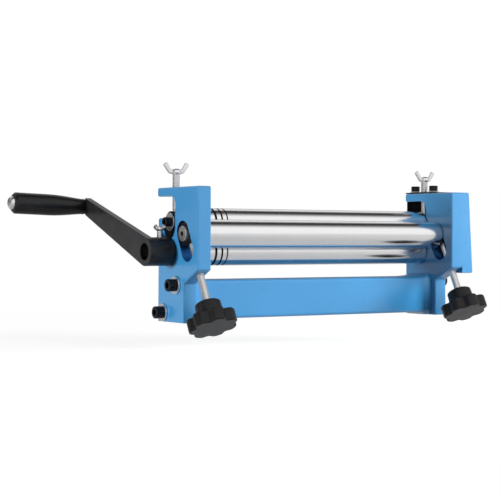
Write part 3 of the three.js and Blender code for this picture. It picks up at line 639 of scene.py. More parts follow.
@dataclass(frozen=True)
class CastPaint:
    """Gloss enamel sprayed on a ground casting: orange peel, soft waves, and paler edges that are
    partly thin worn paint and partly a painted highlight.

    Scales are in waves a metre, depths and reaches in metres.
    """

    name: str
    colour: Colour
    deep: Colour
    edge_wear_and_highlight: Colour
    roughness: float = 0.3
    roughness_scale: float = 260.0
    roughness_spread: float = 0.12
    tone_scale: float = 14.0
    tone_span: Span = (0.3, 0.7)
    edge_reach: float = 0.0012
    edge_span: Span = (0.03, 0.3)
    wear_and_highlight_scale: float = 180.0
    wear_and_highlight_span: Span = (0.35, 0.6)
    wear_and_highlight_share: float = 0.55
    wave_scale: float = 70.0
    wave_depth: float = 0.0006
    wave_strength: float = 0.10
    peel_scale: float = 520.0
    peel_depth: float = 0.00025
    peel_strength: float = 0.16

    def material(self) -> bpy.types.Material:
        """Builds the material.

        Returns:
            The material.
        """
        r = Recipe(self.name)
        tone = r.noise(self.tone_scale, 3.0).within(*self.tone_span)
        body = r.blend(tone, self.deep, self.colour)
        # Paler blue on rounded edges, broken up by noise: partly worn thin paint, partly a painted
        # edge highlight.
        edge = r.edges(self.edge_reach).within(*self.edge_span)
        rubbed = edge * r.noise(self.wear_and_highlight_scale, 3.0).within(*self.wear_and_highlight_span)
        colour = r.blend(rubbed * self.wear_and_highlight_share, body, self.edge_wear_and_highlight)
        waves = r.bump(r.noise(self.wave_scale), self.wave_depth, self.wave_strength)
        peel = r.bump(r.noise(self.peel_scale), self.peel_depth, self.peel_strength, waves)
        uneven = (r.noise(self.roughness_scale, 4.0) - 0.5) * self.roughness_spread
        r.set(Base_Color=colour, Roughness=self.roughness + uneven, Normal=peel, IOR=1.5,
              Specular_IOR_Level=0.8, Coat_Weight=0.5, Coat_Roughness=0.15)
        return r.material


@dataclass(frozen=True)
class TurnedMetal:
    """Bright metal ground round the machine's long axis, with fine rings in its polish."""

    name: str
    colour: Colour
    shade: Colour
    roughness: float
    ring_scale: float = 1500.0
    ring_strength: float = 0.03
    cloud: float = 0.05
    cloud_scale: float = 45.0
    streak_scale: float = 14.0
    tone_span: Span = (0.35, 0.65)
    ring_depth: float = 0.00002

    def material(self) -> bpy.types.Material:
        """Builds the material.

        Returns:
            The material.
        """
        r = Recipe(self.name)
        rings = r.noise(1.0, 3.0, (self.ring_scale, self.streak_scale, self.streak_scale))
        clouds = r.noise(self.cloud_scale, 4.0)
        tone = (rings * 0.5 + clouds * 0.5).within(*self.tone_span)
        rough = self.roughness + (clouds - 0.5) * self.cloud + (rings - 0.5) * self.cloud
        r.set(Base_Color=r.blend(tone, self.shade, self.colour), Metallic=1.0, Roughness=rough,
              Normal=r.bump(rings, self.ring_depth, self.ring_strength))
        return r.material


@dataclass(frozen=True)
class PlatedMetal:
    """Plated or blackened steel: mottled tone, soft scratches and brighter rubbed edges."""

    name: str
    colour: Colour
    shade: Colour
    rubbed: Colour
    roughness: float
    metallic: float = 1.0
    roughness_spread: float = 0.12
    mottle_scale: float = 240.0
    mottle_span: Span = (0.35, 0.65)
    edge_reach: float = 0.0005
    edge_span: Span = (0.03, 0.35)
    edge_share: float = 0.6
    grain_scale: float = 900.0
    grain_depth: float = 0.00003
    grain_strength: float = 0.08

    def material(self) -> bpy.types.Material:
        """Builds the material.

        Returns:
            The material.
        """
        r = Recipe(self.name)
        mottle = r.noise(self.mottle_scale, 5.0)
        body = r.blend(mottle.within(*self.mottle_span), self.shade, self.colour)
        edge = r.edges(self.edge_reach).within(*self.edge_span) * self.edge_share
        rough = self.roughness + (mottle - 0.5) * self.roughness_spread
        grain = r.bump(r.noise(self.grain_scale, 3.0), self.grain_depth, self.grain_strength)
        r.set(Base_Color=r.blend(edge, body, self.rubbed), Metallic=self.metallic,
              Roughness=rough, Specular_IOR_Level=0.3, Normal=grain)
        return r.material


@dataclass(frozen=True)
class SatinCoat:
    """Black paint or moulded plastic: fine leathery texture, uneven sheen and paler edges."""

    name: str
    colour: Colour
    pale: Colour
    roughness: float
    texture_scale: float
    texture_strength: float
    coat: float = 0.0
    texture_depth: float = 0.00012
    cloud_scale: float = 60.0
    cloud_span: Span = (0.4, 0.7)
    cloud_share: float = 0.25
    roughness_spread: float = 0.18
    edge_reach: float = 0.0008
    edge_span: Span = (0.02, 0.3)
    edge_share: float = 0.6

    def material(self) -> bpy.types.Material:
        """Builds the material.

        Returns:
            The material.
        """
        r = Recipe(self.name)
        clouds = r.noise(self.cloud_scale, 4.0)
        edge = r.edges(self.edge_reach).within(*self.edge_span) * self.edge_share
        share = (edge + clouds.within(*self.cloud_span) * self.cloud_share).within(0.0, 1.0)
        rough = self.roughness + (clouds - 0.5) * self.roughness_spread
        texture = r.noise(self.texture_scale, 3.0)
        r.set(Base_Color=r.blend(share, self.colour, self.pale), Roughness=rough, IOR=1.5,
              Specular_IOR_Level=0.3,
              Normal=r.bump(texture, self.texture_depth, self.texture_strength))
        if self.coat:
            r.set(Coat_Weight=self.coat, Coat_Roughness=0.25)
        return r.material


class Finish(Enum):
    """The machine's finishes, most of them named as in the record."""

    BLUE_PAINT = CastPaint("blue_paint", from_screen(0x3C8EC6), deep=from_screen(0x3888BF),
                           edge_wear_and_highlight=from_screen(0x86C2F2))
    # Darker, deeper blue for the walls of the stands' slots and bush hole: painted shade in these
    # recesses.
    SLOT_SHADE = CastPaint("painted_slot_shade", from_screen(0x1C5A98), deep=from_screen(0x174F88),
                         edge_wear_and_highlight=from_screen(0x6FB0E0))
    CHROME = TurnedMetal("chrome", (0.90, 0.90, 0.905), shade=(0.87, 0.87, 0.88),
                         roughness=0.19, ring_strength=0.01, cloud=0.03)
    JOURNAL = TurnedMetal("journal_steel", (0.70, 0.68, 0.66), shade=(0.60, 0.585, 0.57),
                          roughness=0.5)
    GROOVE = SatinCoat("groove_shade", (0.004, 0.004, 0.005), pale=(0.012, 0.012, 0.014),
                       roughness=0.8, texture_scale=900.0, texture_strength=0.1)
    BLACK_OXIDE = PlatedMetal("black_oxide", (0.016, 0.016, 0.018), shade=(0.009, 0.009, 0.011),
                              rubbed=(0.07, 0.07, 0.075), roughness=0.36, metallic=0.5)
    BLACK_PAINT = SatinCoat("black_paint", (0.011, 0.011, 0.0125), pale=(0.042, 0.043, 0.046),
                            roughness=0.34, texture_scale=900.0, texture_strength=0.12, coat=0.1)
    BLACK_PLASTIC = SatinCoat("black_plastic", (0.0064, 0.0064, 0.0070),
                              pale=(0.025, 0.025, 0.027), roughness=0.3, texture_scale=1800.0,
                              texture_strength=0.14)
    BRIGHT_ZINC = PlatedMetal("bright_zinc", (0.86, 0.86, 0.87), shade=(0.77, 0.775, 0.785),
                              rubbed=(0.84, 0.84, 0.86), roughness=0.3)
    GEAR_STEEL = PlatedMetal("gear_steel", (0.34, 0.35, 0.37), shade=(0.24, 0.25, 0.27),
                             rubbed=(0.55, 0.56, 0.58), roughness=0.34)
    BUSH_BRONZE = PlatedMetal("bush_bronze", (0.50, 0.33, 0.13), shade=(0.38, 0.24, 0.09),
                              rubbed=(0.66, 0.46, 0.20), roughness=0.36)


class Workshop:
    """Makes pieces: mesh, modifiers, finish, and the body that each rides on."""

    def __init__(self) -> None:
        """Starts with no materials made and no pieces counted."""
        self.materials: dict[Finish, bpy.types.Material] = {}
        self.made: list[str] = []

    def material(self, finish: Finish) -> bpy.types.Material:
        """The material of a finish, made once.

        Args:
            finish: The finish.

        Returns:
            The material.
        """
        if finish not in self.materials:
            self.materials[finish] = finish.value.material()
        return self.materials[finish]

    def dress(self, node: str, mesh: bpy.types.Mesh, finishes: tuple[Finish, ...],
              angle: float = 32.0, bevel: float = 0.0, sheet: float = 0.0) -> None:
        """Makes a mesh the piece that stands for a node of the frame.

        Args:
            node: Node that it replaces.
            mesh: Its mesh.
            finishes: Its finishes, in the order of its face numbers.
            angle: Faces that meet at more than this many degrees keep a crisp edge.
            bevel: Width of a rounding on crisp edges, in millimetres.
            sheet: Thickness that a sheet gets, in millimetres.
        """
        bodies = frame["record"]["behaviour"]["bodies"]
        body = next(b for b, members in bodies.items() if node in members)
        piece = bpy.data.objects.new(f"{node}_finished", mesh)
        bpy.context.scene.collection.objects.link(piece)
        for finish in finishes:
            mesh.materials.append(self.material(finish))
        if sheet:
            wall = piece.modifiers.new("sheet", "SOLIDIFY")
            wall.thickness, wall.offset, wall.use_even_offset = sheet * MILLIMETRE, -1.0, True
        if bevel:
            rounding = piece.modifiers.new("rounding", "BEVEL")
            rounding.width, rounding.segments = bevel * MILLIMETRE, 3
            rounding.limit_method, rounding.angle_limit = "ANGLE", math.radians(angle)
        mesh.shade_smooth()
        crisp = not (bevel or sheet)
        if crisp:
            mesh.set_sharp_from_angle(angle=math.radians(angle))
        piece.modifiers.new("even_light", "WEIGHTED_NORMAL").keep_sharp = crisp
        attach(piece, body)
        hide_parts(node)
        self.made.append(node)
        LOG.info("%s: %d faces on %s", piece.name, len(mesh.polygons), body)

    def part(self, node: str, skins: list[Skin], finish: Finish, **options: float) -> None:
        """A piece of one finish made of plain surfaces."""
        self.dress(node, mesh_of(node, skins), (finish,), **options)


# Sizes shared by the sub-assemblies


@dataclass(frozen=True)
class Layout:
    """Where the axes and faces of the machine lie."""

    inner_x: float = 160.0
    outer_x: float = 176.0
    stand_middle_x: float = 168.0
    lower_axis_z: float = 73.8
    upper_axis_z: float = 104.8
    bending_y: float = -28.5
    bending_z: float = 92.5
    slant: float = 27.0
    slot_radius: float = 11.65
    block_radius: float = 11.35
    block_inner_x: float = 160.6
    block_outer_x: float = 174.0
    block_top: float = 11.4
    bending_foot: float = 11.2
    bending_crown: float = 1.8
    stand_height: float = 141.0
    guard_top_z: float = 142.5
    journal_radius: float = 8.0
    gear_inner_x: float = 177.2
    gear_outer_x: float = 188.2
    ring_x: float = 188.5
    journal_end_x: float = 190.9
    pitch: float = 1.25
    thread_share: float = 0.4

    def slanted(self, x: float) -> Placement:
        """A frame on the bending roller's axis at rest whose length points up the slanted slot."""
        s, c = math.sin(math.radians(self.slant)), math.cos(math.radians(self.slant))
        return Placement((x, self.bending_y, self.bending_z), (1, 0, 0), (0, c, -s), (0, s, c))


LAYOUT = Layout()


@dataclass(frozen=True)
class ScrewSize:
    """Sizes of a socket cap screw."""

    diameter: float
    head_diameter: float
    head_height: float
    socket: float


M8 = ScrewSize(diameter=8.0, head_diameter=13.0, head_height=8.0, socket=6.0)
M6 = ScrewSize(diameter=6.0, head_diameter=10.0, head_height=6.0, socket=5.0)


# Castings and sheet


@dataclass
class Stand:
    """A cast stand: a web with machined slots, and on the right one a front shield."""

    side: str
    thickness: float = 16.0
    front_y: float = -58.5
    edge: float = 1.7
    machined_edge: float = 0.35
    foot_edge: float = 0.6
    corner: float = 2.2
    arm_rear_y: float = 25.8
    arm_depth: float = 9.3
    neck_radius: float = 10.5
    notch_rise: float = 4.0
    notch_corner: float = 0.4
    horn_top_z: float = 109.0
    leg_rear_y: float = 24.0
    leg_front_y: float = -29.8
    leg_top_z: float = 40.7
    upper_slot_foot_z: float = 87.0
    slanted_slot_length: float = 19.157
    bush_hole: float = 10.2
    shield_depth: float = 9.0
    shield_reach_top: float = 10.3
    shield_reach_bottom: float = 16.5
    shield_fillet: float = 5.0
    shield_corner: float = 1.9
    shield_bottom_z: float = 48.8
    shield_draft: float = 0.35
    seam_inset: float = 1.55
    seam_lap: float = 0.1
    seam_corner: float = 0.5
    seam_edge: float = 0.6
    step_rise: float = 2.0
    step_height: float = 0.05
    step_lap: float = 0.02

    def chin_z(self) -> float:
        """Height at which the slanted chin meets the front face."""
        run = self.leg_front_y - self.front_y
        return self.leg_top_z + run * math.tan(math.radians(LAYOUT.slant))

    def web(self) -> Skin:
        """The plate of the stand, in the Y-Z plane, with its slots and bush hole.

        Returns:
            The plate, with finish 1 on the holes' walls: a darker blue that paints the shade inside
            the slots and the bush hole.
        """
        slot, top = LAYOUT.slot_radius, LAYOUT.stand_height
        crisp, cast, foot = self.machined_edge, self.edge, self.foot_edge
        outer = Outline.rounded([
            (self.leg_rear_y, self.horn_top_z, self.corner, cast),
            (slot, self.horn_top_z, self.notch_corner, crisp),
            (slot, self.upper_slot_foot_z, slot, crisp),
            (-slot, self.upper_slot_foot_z, slot, crisp),
            (-slot, self.horn_top_z + self.notch_rise, 0.0, crisp),
            (-slot, top - self.arm_depth, self.neck_radius, cast),
            (self.arm_rear_y, top - self.arm_depth, self.corner, cast),
            (self.arm_rear_y, top, self.corner, cast),
            (self.front_y, top, self.corner, cast),
            (self.front_y, self.chin_z(), self.corner, cast),
            (self.leg_front_y, self.leg_top_z, self.corner, cast),
            (self.leg_front_y, 0.0, 0.0, foot),
            (self.leg_rear_y, 0.0, 0.0, foot),
        ], steps=12)
        crown, depth = slot + LAYOUT.bending_crown, self.slanted_slot_length + slot
        slanted = Outline.rounded([
            (slot, crown, slot), (-slot, crown, slot), (-slot, -depth, slot), (slot, -depth, slot),
        ], crisp, steps=16).moved(-LAYOUT.slant, (LAYOUT.bending_y, LAYOUT.bending_z))
        bush = Outline.circle(self.bush_hole, (0, LAYOUT.lower_axis_z), crisp)
        low = -LAYOUT.outer_x if self.side == "left" else LAYOUT.inner_x
        plate = slab(outer, low, low + self.thickness, (slanted.hole(), bush.hole()), wall_finish=1)
        return plate.placed(along_x(0, 0, 0))

    def shield(self) -> Skin:
        """The shield: an L-shaped outline carried up the stand.

        Past the web's outer face, x grows in proportion to the reach at that height, which falls
        evenly from the bottom to the top. Below the chin's corner the inner end keeps to the web's
        outer face.

        Returns:
            The shield.
        """
        web_x, rear = LAYOUT.outer_x, self.front_y + self.shield_depth
        inner, tip = web_x - self.seam_inset, web_x + self.shield_reach_bottom
        lap = rear + self.shield_fillet + self.seam_lap
        section = Outline.rounded([
            (inner, self.front_y, self.seam_corner, self.seam_edge),
            (tip, self.front_y + self.shield_draft, self.shield_corner, self.edge),
            (tip, rear, self.shield_corner, self.edge),
            (web_x, rear, self.shield_fillet, self.seam_edge),
            (web_x, lap, 0.0, 0.0),
            (inner, lap, 0.0, 0.0),
        ], steps=8)
        low, top = self.shield_bottom_z, LAYOUT.stand_height
        chin = self.chin_z() + self.step_rise
        body = slab(section, low, top, levels=(chin, chin + self.step_height))
        x, y, z = body.points.T
        share = (z - low) / (top - low)
        widest = self.shield_reach_bottom
        reach = widest + (self.shield_reach_top - widest) * share
        beyond = web_x + (x - web_x) * reach / widest
        x = np.where(x > web_x, beyond, x)
        below = z <= chin + self.step_height / 5
        x = np.where(below & (x < web_x), web_x - self.step_lap, x)
        return Skin(np.stack([x, y, z], -1), body.faces)

    def build(self, shop: Workshop) -> None:
        """Makes the stand's piece.

        Args:
            shop: Where it is made.
        """
        skins = [self.web()] + ([self.shield()] if self.side == "right" else [])
        mesh = mesh_of(f"{self.side}_stand", skins)
        # The second finish paints shade into the slots and the bush hole.
        shop.dress(f"{self.side}_stand", mesh, (Finish.BLUE_PAINT, Finish.SLOT_SHADE))


@dataclass
class CrossBeam:
    """The channel between the stands: flared pads at its ends and a pocket open to the rear."""

    front_y: float = -19.5
    rear_y: float = 17.5
    bottom_z: float = 3.0
    top_z: float = 44.2
    wall: float = 6.0
    corner: float = 3.5
    pad: float = 9.0
    flare: float = 3.0
    flare_length: float = 22.0
    flare_gap: float = 4.0
    flare_rows: int = 14
    end_gap: float = 0.3
    end_rows: tuple[tuple[float, float], ...] = ((0.6, 0.0), (0.2, 0.15), (0.0, 0.6))
    pocket_corner: float = 4.0
    pocket_edge: float = 1.5
    pocket_past: float = 6.0

    def body(self) -> Skin:
        """The outside: a rounded rectangle carried along X.

        Each side stands out by flare (1 - sqrt(1 - t^2)), where t grows from nothing to one over
        the flare's length, which ends a little before the stand. The last rows round the end.

        Returns:
            The closed outside.
        """
        end = LAYOUT.inner_x - self.end_gap
        t = np.linspace(0, 1, self.flare_rows)
        back, inset = np.array(self.end_rows).T
        x = np.concatenate([end - self.flare_gap - self.flare_length * (1 - t), end - back])
        out = self.flare * np.concatenate([1 - np.sqrt(1 - t ** 2), np.ones(len(back))])
        out[self.flare_rows:] -= inset
        x, out = np.concatenate([-x[::-1], x]), np.concatenate([out[::-1], out])
        loop = Outline.rounded([
            (self.front_y, self.bottom_z, self.corner), (self.rear_y, self.bottom_z, self.corner),
            (self.rear_y, self.top_z, self.corner), (self.front_y, self.top_z, self.corner),
        ])
        flat = loop.points - loop.inward() * out[:, None, None]
        places = np.broadcast_to(x[:, None, None], (*flat.shape[:2], 1))
        points = np.concatenate([places, flat], -1)
        count = len(loop.points)
        caps = np.array([np.arange(count), np.arange(count) + (len(x) - 1) * count])
        return Skin(points.reshape(-1, 3), [grid_faces(len(x), count), caps])

    def pocket(self) -> Skin:
        """The hollow, open to the rear.

        Returns:
            The closed surface that is cut out.
        """
        end = LAYOUT.inner_x - self.pad
        low, high = self.bottom_z + self.wall, self.top_z - self.wall
        outline = Outline.rounded([
            (-end, low, self.pocket_corner), (end, low, self.pocket_corner),
            (end, high, self.pocket_corner), (-end, high, self.pocket_corner),
        ], self.pocket_edge, steps=6)
        place = Placement((0, 0, 0), (1, 0, 0), (0, 0, 1), (0, -1, 0))
        reach = -(self.rear_y + self.flare + self.pocket_past)
        return slab(outline, reach, -(self.front_y + self.wall)).placed(place)

    def build(self, shop: Workshop) -> None:
        """Makes the beam's piece."""
        mesh = carved("cross_beam", [self.body()], [self.pocket()])
        shop.dress("cross_beam", mesh, (Finish.BLUE_PAINT,), angle=50.0, bevel=0.8)


@dataclass
class GearGuard:
    """A folded sheet over, outside and behind the gears."""

    thickness: float = 1.2
    inner_x: float = 161.5
    outer_x: float = 192.7
    shoulder_z: float = 136.0
    bottom_z: float = 50.0
    front_y: float = -48.5
    tab_front_y: float = -21.0
    rear_y: float = 27.3
    rear_inner_x: float = 163.9
    fold: float = 2.6
    fold_steps: int = 7
    rounding: float = 0.35

    def across(self, x: float, z: float) -> Array:
        """Three points from front to rear at one place."""
        y = (self.tab_front_y, 0.0, self.rear_y)
        return np.array([[(x, each, z) for each in y]])

    def build(self, shop: Workshop) -> None:
        """Makes the guard from a grid over the fold and two flat faces.

        The fold between the outer face and the top is a quarter turn t about its centre: x grows
        with cos t and z with sin t.

        Args:
            shop: Where it is made.
        """
        low, high, top = self.bottom_z, self.shoulder_z, LAYOUT.guard_top_z
        turn = np.linspace(0, math.pi / 2, self.fold_steps)
        curve = [self.across(self.outer_x - self.fold + self.fold * math.cos(t),
                             top - self.fold + self.fold * math.sin(t)) for t in turn]
        over = np.concatenate([self.across(self.outer_x, low), self.across(self.outer_x, high),
                               *curve, self.across(self.inner_x, top)])
        sheet = Skin(over.reshape(-1, 3), [grid_faces(len(over), 3, False)])
        flap = Skin(np.array([(self.outer_x, y, z) for y, z in (
            (self.front_y, low), (self.tab_front_y, low), (self.tab_front_y, high),
            (self.front_y, high))]), [np.arange(4)[None]])
        wall = np.array([(self.rear_inner_x, self.rear_y, low), (self.outer_x, self.rear_y, low),
                         (self.outer_x, self.rear_y, high), *(row[0, -1] for row in curve),
                         (self.rear_inner_x, self.rear_y, top)])
        rear = Skin(wall, [np.arange(len(wall))[None]])
        shop.part("gear_guard", [sheet, flap, rear], Finish.BLACK_PAINT, sheet=self.thickness,
                  bevel=self.rounding, angle=40.0)


# Rollers and what carries them


@dataclass
class RollerSet:
    """The three rollers with their journals and wire grooves."""

    radius: float = 15.0
    end_x: float = 159.5
    edge: float = 0.9
    grooves: tuple[tuple[float, float], ...] = ((32.5, 2.8), (40.0, 2.2), (46.5, 1.6))
    groove_bottom: float = 0.15
    steps: int = 96
    lap: float = 1.0
    ring_groove: tuple[float, float, float] = (0.2, 1.6, 1.0)
    crank_end_x: float = -194.7
    upper_end_x: float = -174.3
    journal_edge: float = 0.7
    gear_end_edge: float = 0.5
    bending_start_x: float = 150.0
    bending_end_x: float = 177.2
    bending_edge: float = 0.8
    drilling: Corners = ((2.6, 0.0), (2.08, 0.7), (0.9, 3.0), (0.0, 3.6))

    def barrel(self, place: Placement, grooved: bool) -> list[Skin]:
        """The ground barrel between its two end faces, with vee grooves for wire.

        Args:
            place: The roller's frame.
            grooved: Whether it has the grooves.

        Returns:
            Its surfaces: finish 0 on the ground face, finish 1 in the grooves.
        """
        journal, end, full = LAYOUT.journal_radius, self.end_x, self.radius
        line: Corners = [(journal, -end), (full, -end, self.edge)]
        skins: list[Skin] = []
        for from_stand, width in self.grooves if grooved else ():
            middle, half = from_stand - LAYOUT.inner_x, width / 2
            before, after = (full, middle - half), (full, middle + half)
            skins.append(lathe([*line, before], self.steps))
            vee = [before, (full - half, middle, self.groove_bottom), after]
            skins.append(lathe(vee, self.steps, 1))
            line = [after]
        skins.append(lathe([*line, (full, end, self.edge), (journal, end)], self.steps))
        return [s.placed(place) for s in skins]

    def journals(self, end_x: float, place: Placement) -> list[Skin]:
        """The plain journal and the gear journal, which has a groove for its retaining ring.

        Args:
            end_x: Where the plain journal ends.
            place: The roller's frame.

        Returns:
            Both, with finish 2.
        """
        r, end, start = LAYOUT.journal_radius, LAYOUT.journal_end_x, self.end_x - self.lap
        plain = [(0, end_x), (r, end_x, self.journal_edge), (r, -start, self.journal_edge),
                 (0, -start)]
        early, width, depth = self.ring_groove
        a, b = LAYOUT.ring_x - early, LAYOUT.ring_x - early + width
        gear = [(0, start), (r, start), (r, a), (r - depth, a), (r - depth, b), (r, b),
                (r, end, self.gear_end_edge), (0, end)]
        return [lathe(line, finish=2).placed(place) for line in (plain, gear)]

    def drilled_end(self, side: int, place: Placement) -> list[Skin]:
        """A bending journal's end with its centre drilling.

        Args:
            side: -1 for the left end, 1 for the right one.
            place: The roller's frame.

        Returns:
            The journal with finish 1 and the drilling with finish 2.
        """
        r, start, end = LAYOUT.journal_radius, self.bending_start_x, self.bending_end_x
        hole = [(radius, end - depth) for radius, depth in self.drilling]
        face = [(0, start), (r, start), (r, end, self.bending_edge), hole[0]]
        flip = np.array([1, 1, side])
        skins = lathe(face, finish=1), lathe(hole, finish=2)
        return [Skin(s.points * flip, s.faces, s.finish).placed(place) for s in skins]

    def build(self, shop: Workshop) -> None:
        """Makes the three rollers.

        Args:
            shop: Where they are made.
        """
        finishes = (Finish.CHROME, Finish.GROOVE, Finish.JOURNAL)
        for name, z, end_x in (("lower_roller", LAYOUT.lower_axis_z, self.crank_end_x),
                               ("upper_roller", LAYOUT.upper_axis_z, self.upper_end_x)):
            place = along_x(0, 0, z)
            skins = [*self.barrel(place, True), *self.journals(end_x, place)]
            shop.dress(name, mesh_of(name, skins), finishes)
        place = along_x(0, LAYOUT.bending_y, LAYOUT.bending_z)
        skins = [*self.barrel(place, False), *self.drilled_end(-1, place),
                 *self.drilled_end(1, place)]
        finishes = (Finish.CHROME, Finish.JOURNAL, Finish.GROOVE)
        shop.dress("bending_roller", mesh_of("bending_roller", skins), finishes)


@dataclass
class Bearings:
    """Sliding blocks of the upper and bending rollers, and the lower roller's bushes."""

    depth: float = 13.4
    foot: float = 16.8
    edge: float = 0.6
    bore: float = 8.3
    bore_edge: float = 0.4
    upper_corner: float = 9.5
    bending_corner: float = 7.0
    bush_radius: float = 10.0
    bush_edge: float = 0.3

    def block(self, top: float, top_corner: float, foot: float, foot_corner: float) -> Outline:
        """A block's outline, with the width of the slot less its play.

        Args:
            top: Height of its top over the roller's axis.
            top_corner: Radius of its upper corners.
            foot: Depth of its foot under the axis.
            foot_corner: Radius of its lower corners.

        Returns:
            The loop.
        """
        r = LAYOUT.block_radius
        return Outline.rounded([(r, top, top_corner), (-r, top, top_corner),
                                (-r, -foot, foot_corner), (r, -foot, foot_corner)], self.edge, 14)

    def build(self, shop: Workshop) -> None:
        """Makes the blocks and bushes of both sides.

        Args:
            shop: Where they are made.
        """
        r, foot = LAYOUT.block_radius, LAYOUT.bending_foot
        bore = Outline.circle(self.bore, edge=self.bore_edge).hole()
        upper = self.block(LAYOUT.block_top, self.upper_corner, self.foot, r)
        bending = self.block(r + LAYOUT.bending_crown, r, foot, self.bending_corner)
        blocks = (("upper_block", upper, along_x(0, 0, LAYOUT.upper_axis_z)),
                  ("bending_block", bending.moved(-LAYOUT.slant, (0, 0)),
                   along_x(0, LAYOUT.bending_y, LAYOUT.bending_z)))
        for name, side in SIDES.items():
            low = LAYOUT.block_inner_x if side > 0 else -LAYOUT.block_outer_x
            for kind, outline, place in blocks:
                block = slab(outline, low, low + self.depth, (bore,)).placed(place)
                shop.part(f"{kind}_{name}", [block], Finish.BLACK_OXIDE)
            near, far = sorted((side * LAYOUT.inner_x, side * LAYOUT.outer_x))
            line = [(radius, x, self.bush_edge) for radius, x in (
                (self.bore, near), (self.bush_radius, near), (self.bush_radius, far),
                (self.bore, far))]
            bush = ring(line).placed(along_x(0, 0, LAYOUT.lower_axis_z))
            shop.part(f"lower_bush_{name}", [bush], Finish.BUSH_BRONZE)


@dataclass
class GearTrain:
    """The meshing pair of involute gears with their keys and retaining rings."""

    teeth: int = 12
    module: float = 2.5
    pressure: float = 20.0
    backlash: float = 0.5
    root_depth: float = 1.25
    edge: float = 0.3
    bore: float = 8.15
    key: float = 5.0
    key_length: float = 9.0
    key_corner: float = 0.4
    ring_inner: float = 7.2
    ring_width: float = 2.6
    ring_thickness: float = 1.2
    ring_edge: float = 0.2
    ring_span: tuple[float, float] = (-70.0, 250.0)
    ring_steps: int = 60
    flank_steps: int = 10

    def outline(self, phase: float) -> Outline:
        """Involute teeth.

        At radius r the flank lies at a half angle of the pitch half angle plus inv(pitch) minus
        inv(r), where inv is the roll angle less its arctangent and the roll angle is
        sqrt((r / base)^2 - 1). Below the base circle the flank runs straight in to the root.

        Args:
            phase: Angle of the first tooth, in radians.

        Returns:
            The loop of the whole gear.
        """
        pitch = self.teeth * self.module / 2
        base = pitch * math.cos(math.radians(self.pressure))
        tip, root = pitch + self.module, pitch - self.root_depth * self.module
        radii = np.concatenate([[root], np.linspace(base, tip, self.flank_steps)])
        along = np.concatenate([np.maximum(radii, base), [pitch]])
        roll = np.sqrt(np.maximum((along / base) ** 2 - 1, 0))
        involute = roll - np.arctan(roll)
        at_pitch = (math.pi * self.module / 2 - self.backlash) / (2 * pitch)
        half = at_pitch + involute[-1] - involute[:-1]
        radius = np.concatenate([radii, radii[::-1]])
        offset = np.concatenate([-half, half[::-1]])
        middle = phase + np.arange(self.teeth)[:, None] * TURN / self.teeth
        angle = (middle + offset).reshape(-1)
        return Outline.polar(np.tile(radius, self.teeth), angle, (0, 0), self.edge)

    def clip(self) -> Outline:
        """The outline of an open retaining ring.

        Returns:
            The loop: out along the outer radius and back along the inner one.
        """
        sweep = np.radians(np.linspace(*self.ring_span, self.ring_steps))
        radius = np.repeat([self.ring_inner + self.ring_width, self.ring_inner], self.ring_steps)
        angle = np.concatenate([sweep, sweep[::-1]])
        return Outline.polar(radius, angle, (0, 0), self.ring_edge)

    def build(self, shop: Workshop) -> None:
        """Makes both gears, keys and rings.

        Args:
            shop: Where they are made.
        """
        inner, outer, start = LAYOUT.gear_inner_x, LAYOUT.gear_outer_x, LAYOUT.ring_x
        middle, length, half = (inner + outer) / 2, self.key_length / 2, self.key / 2
        low, high = LAYOUT.journal_radius - half, LAYOUT.journal_radius + half
        bore = Outline.circle(self.bore, edge=self.edge).hole()
        key = Outline.rounded([(x, y, self.key_corner) for x, y in (
            (half, low), (half, high), (-half, high), (-half, low))], self.edge, steps=3)
        for name, z, phase in (("lower", LAYOUT.lower_axis_z, math.pi / 2),
                               ("upper", LAYOUT.upper_axis_z, math.pi / 2 + math.pi / self.teeth)):
            place = along_x(0, 0, z)
            wheel = slab(self.outline(phase), inner, outer, (bore,), steps=2)
            shop.part(f"{name}_gear", [wheel.placed(place)], Finish.GEAR_STEEL)
            feather = slab(key, middle - length, middle + length)
            shop.part(f"{name}_gear_key", [feather.placed(place)], Finish.GEAR_STEEL)
            circlip = slab(self.clip(), start, start + self.ring_thickness, steps=2)
            shop.part(f"{name}_gear_ring", [circlip.placed(place)], Finish.BLACK_OXIDE)


# Screws and washers


@dataclass
class CapScrew:
    """A socket cap screw whose head stands on a washer."""

    size: ScrewSize
    length: float
    steps: int = 72
    foot_edge: float = 0.4
    rim_edge: float = 0.9
    rim_share: float = 0.62
    chamfer: float = 0.25
    chamfer_depth: float = 0.3
    floor_share: float = 0.45
    cone: float = 0.6
    tip_edge: float = 0.8
    overlap: float = 0.2

    def skins(self, place: Placement) -> list[Skin]:
        """Head with a hexagonal socket, and the shank.

        The socket's radius at angle t is the hexagon's inner radius over the cosine of t taken
        from the middle of the nearest side.

        Args:
            place: Frame whose length points out of the head, from its seat.

        Returns:
            The surfaces.
        """
        head, high = self.size.head_diameter / 2, self.size.head_height
        angle = np.arange(self.steps) * TURN / self.steps
        side = self.size.socket / 2 / np.cos((angle % (TURN / 6)) - TURN / 12)
        line = profile([(0, 0), (head, 0, self.foot_edge), (head, high, self.rim_edge),
                        (head * self.rim_share, high)])
        outer = np.repeat(line[:, :1], self.steps, 1)
        rows = [outer, side[None] + self.chamfer, side[None], side[None], 0 * side[None]]
        floor = high * self.floor_share
        heights = np.concatenate([line[:, 1],
                                  [high, high - self.chamfer_depth, floor, floor - self.cone]])
        shank, lap = self.size.diameter / 2, self.overlap
        pin = [(0, -self.length), (shank, -self.length, self.tip_edge), (shank, lap), (0, lap)]
        shank_skin = lathe(pin, steps=40)
        return [spun(np.concatenate(rows), heights).placed(place), shank_skin.placed(place)]


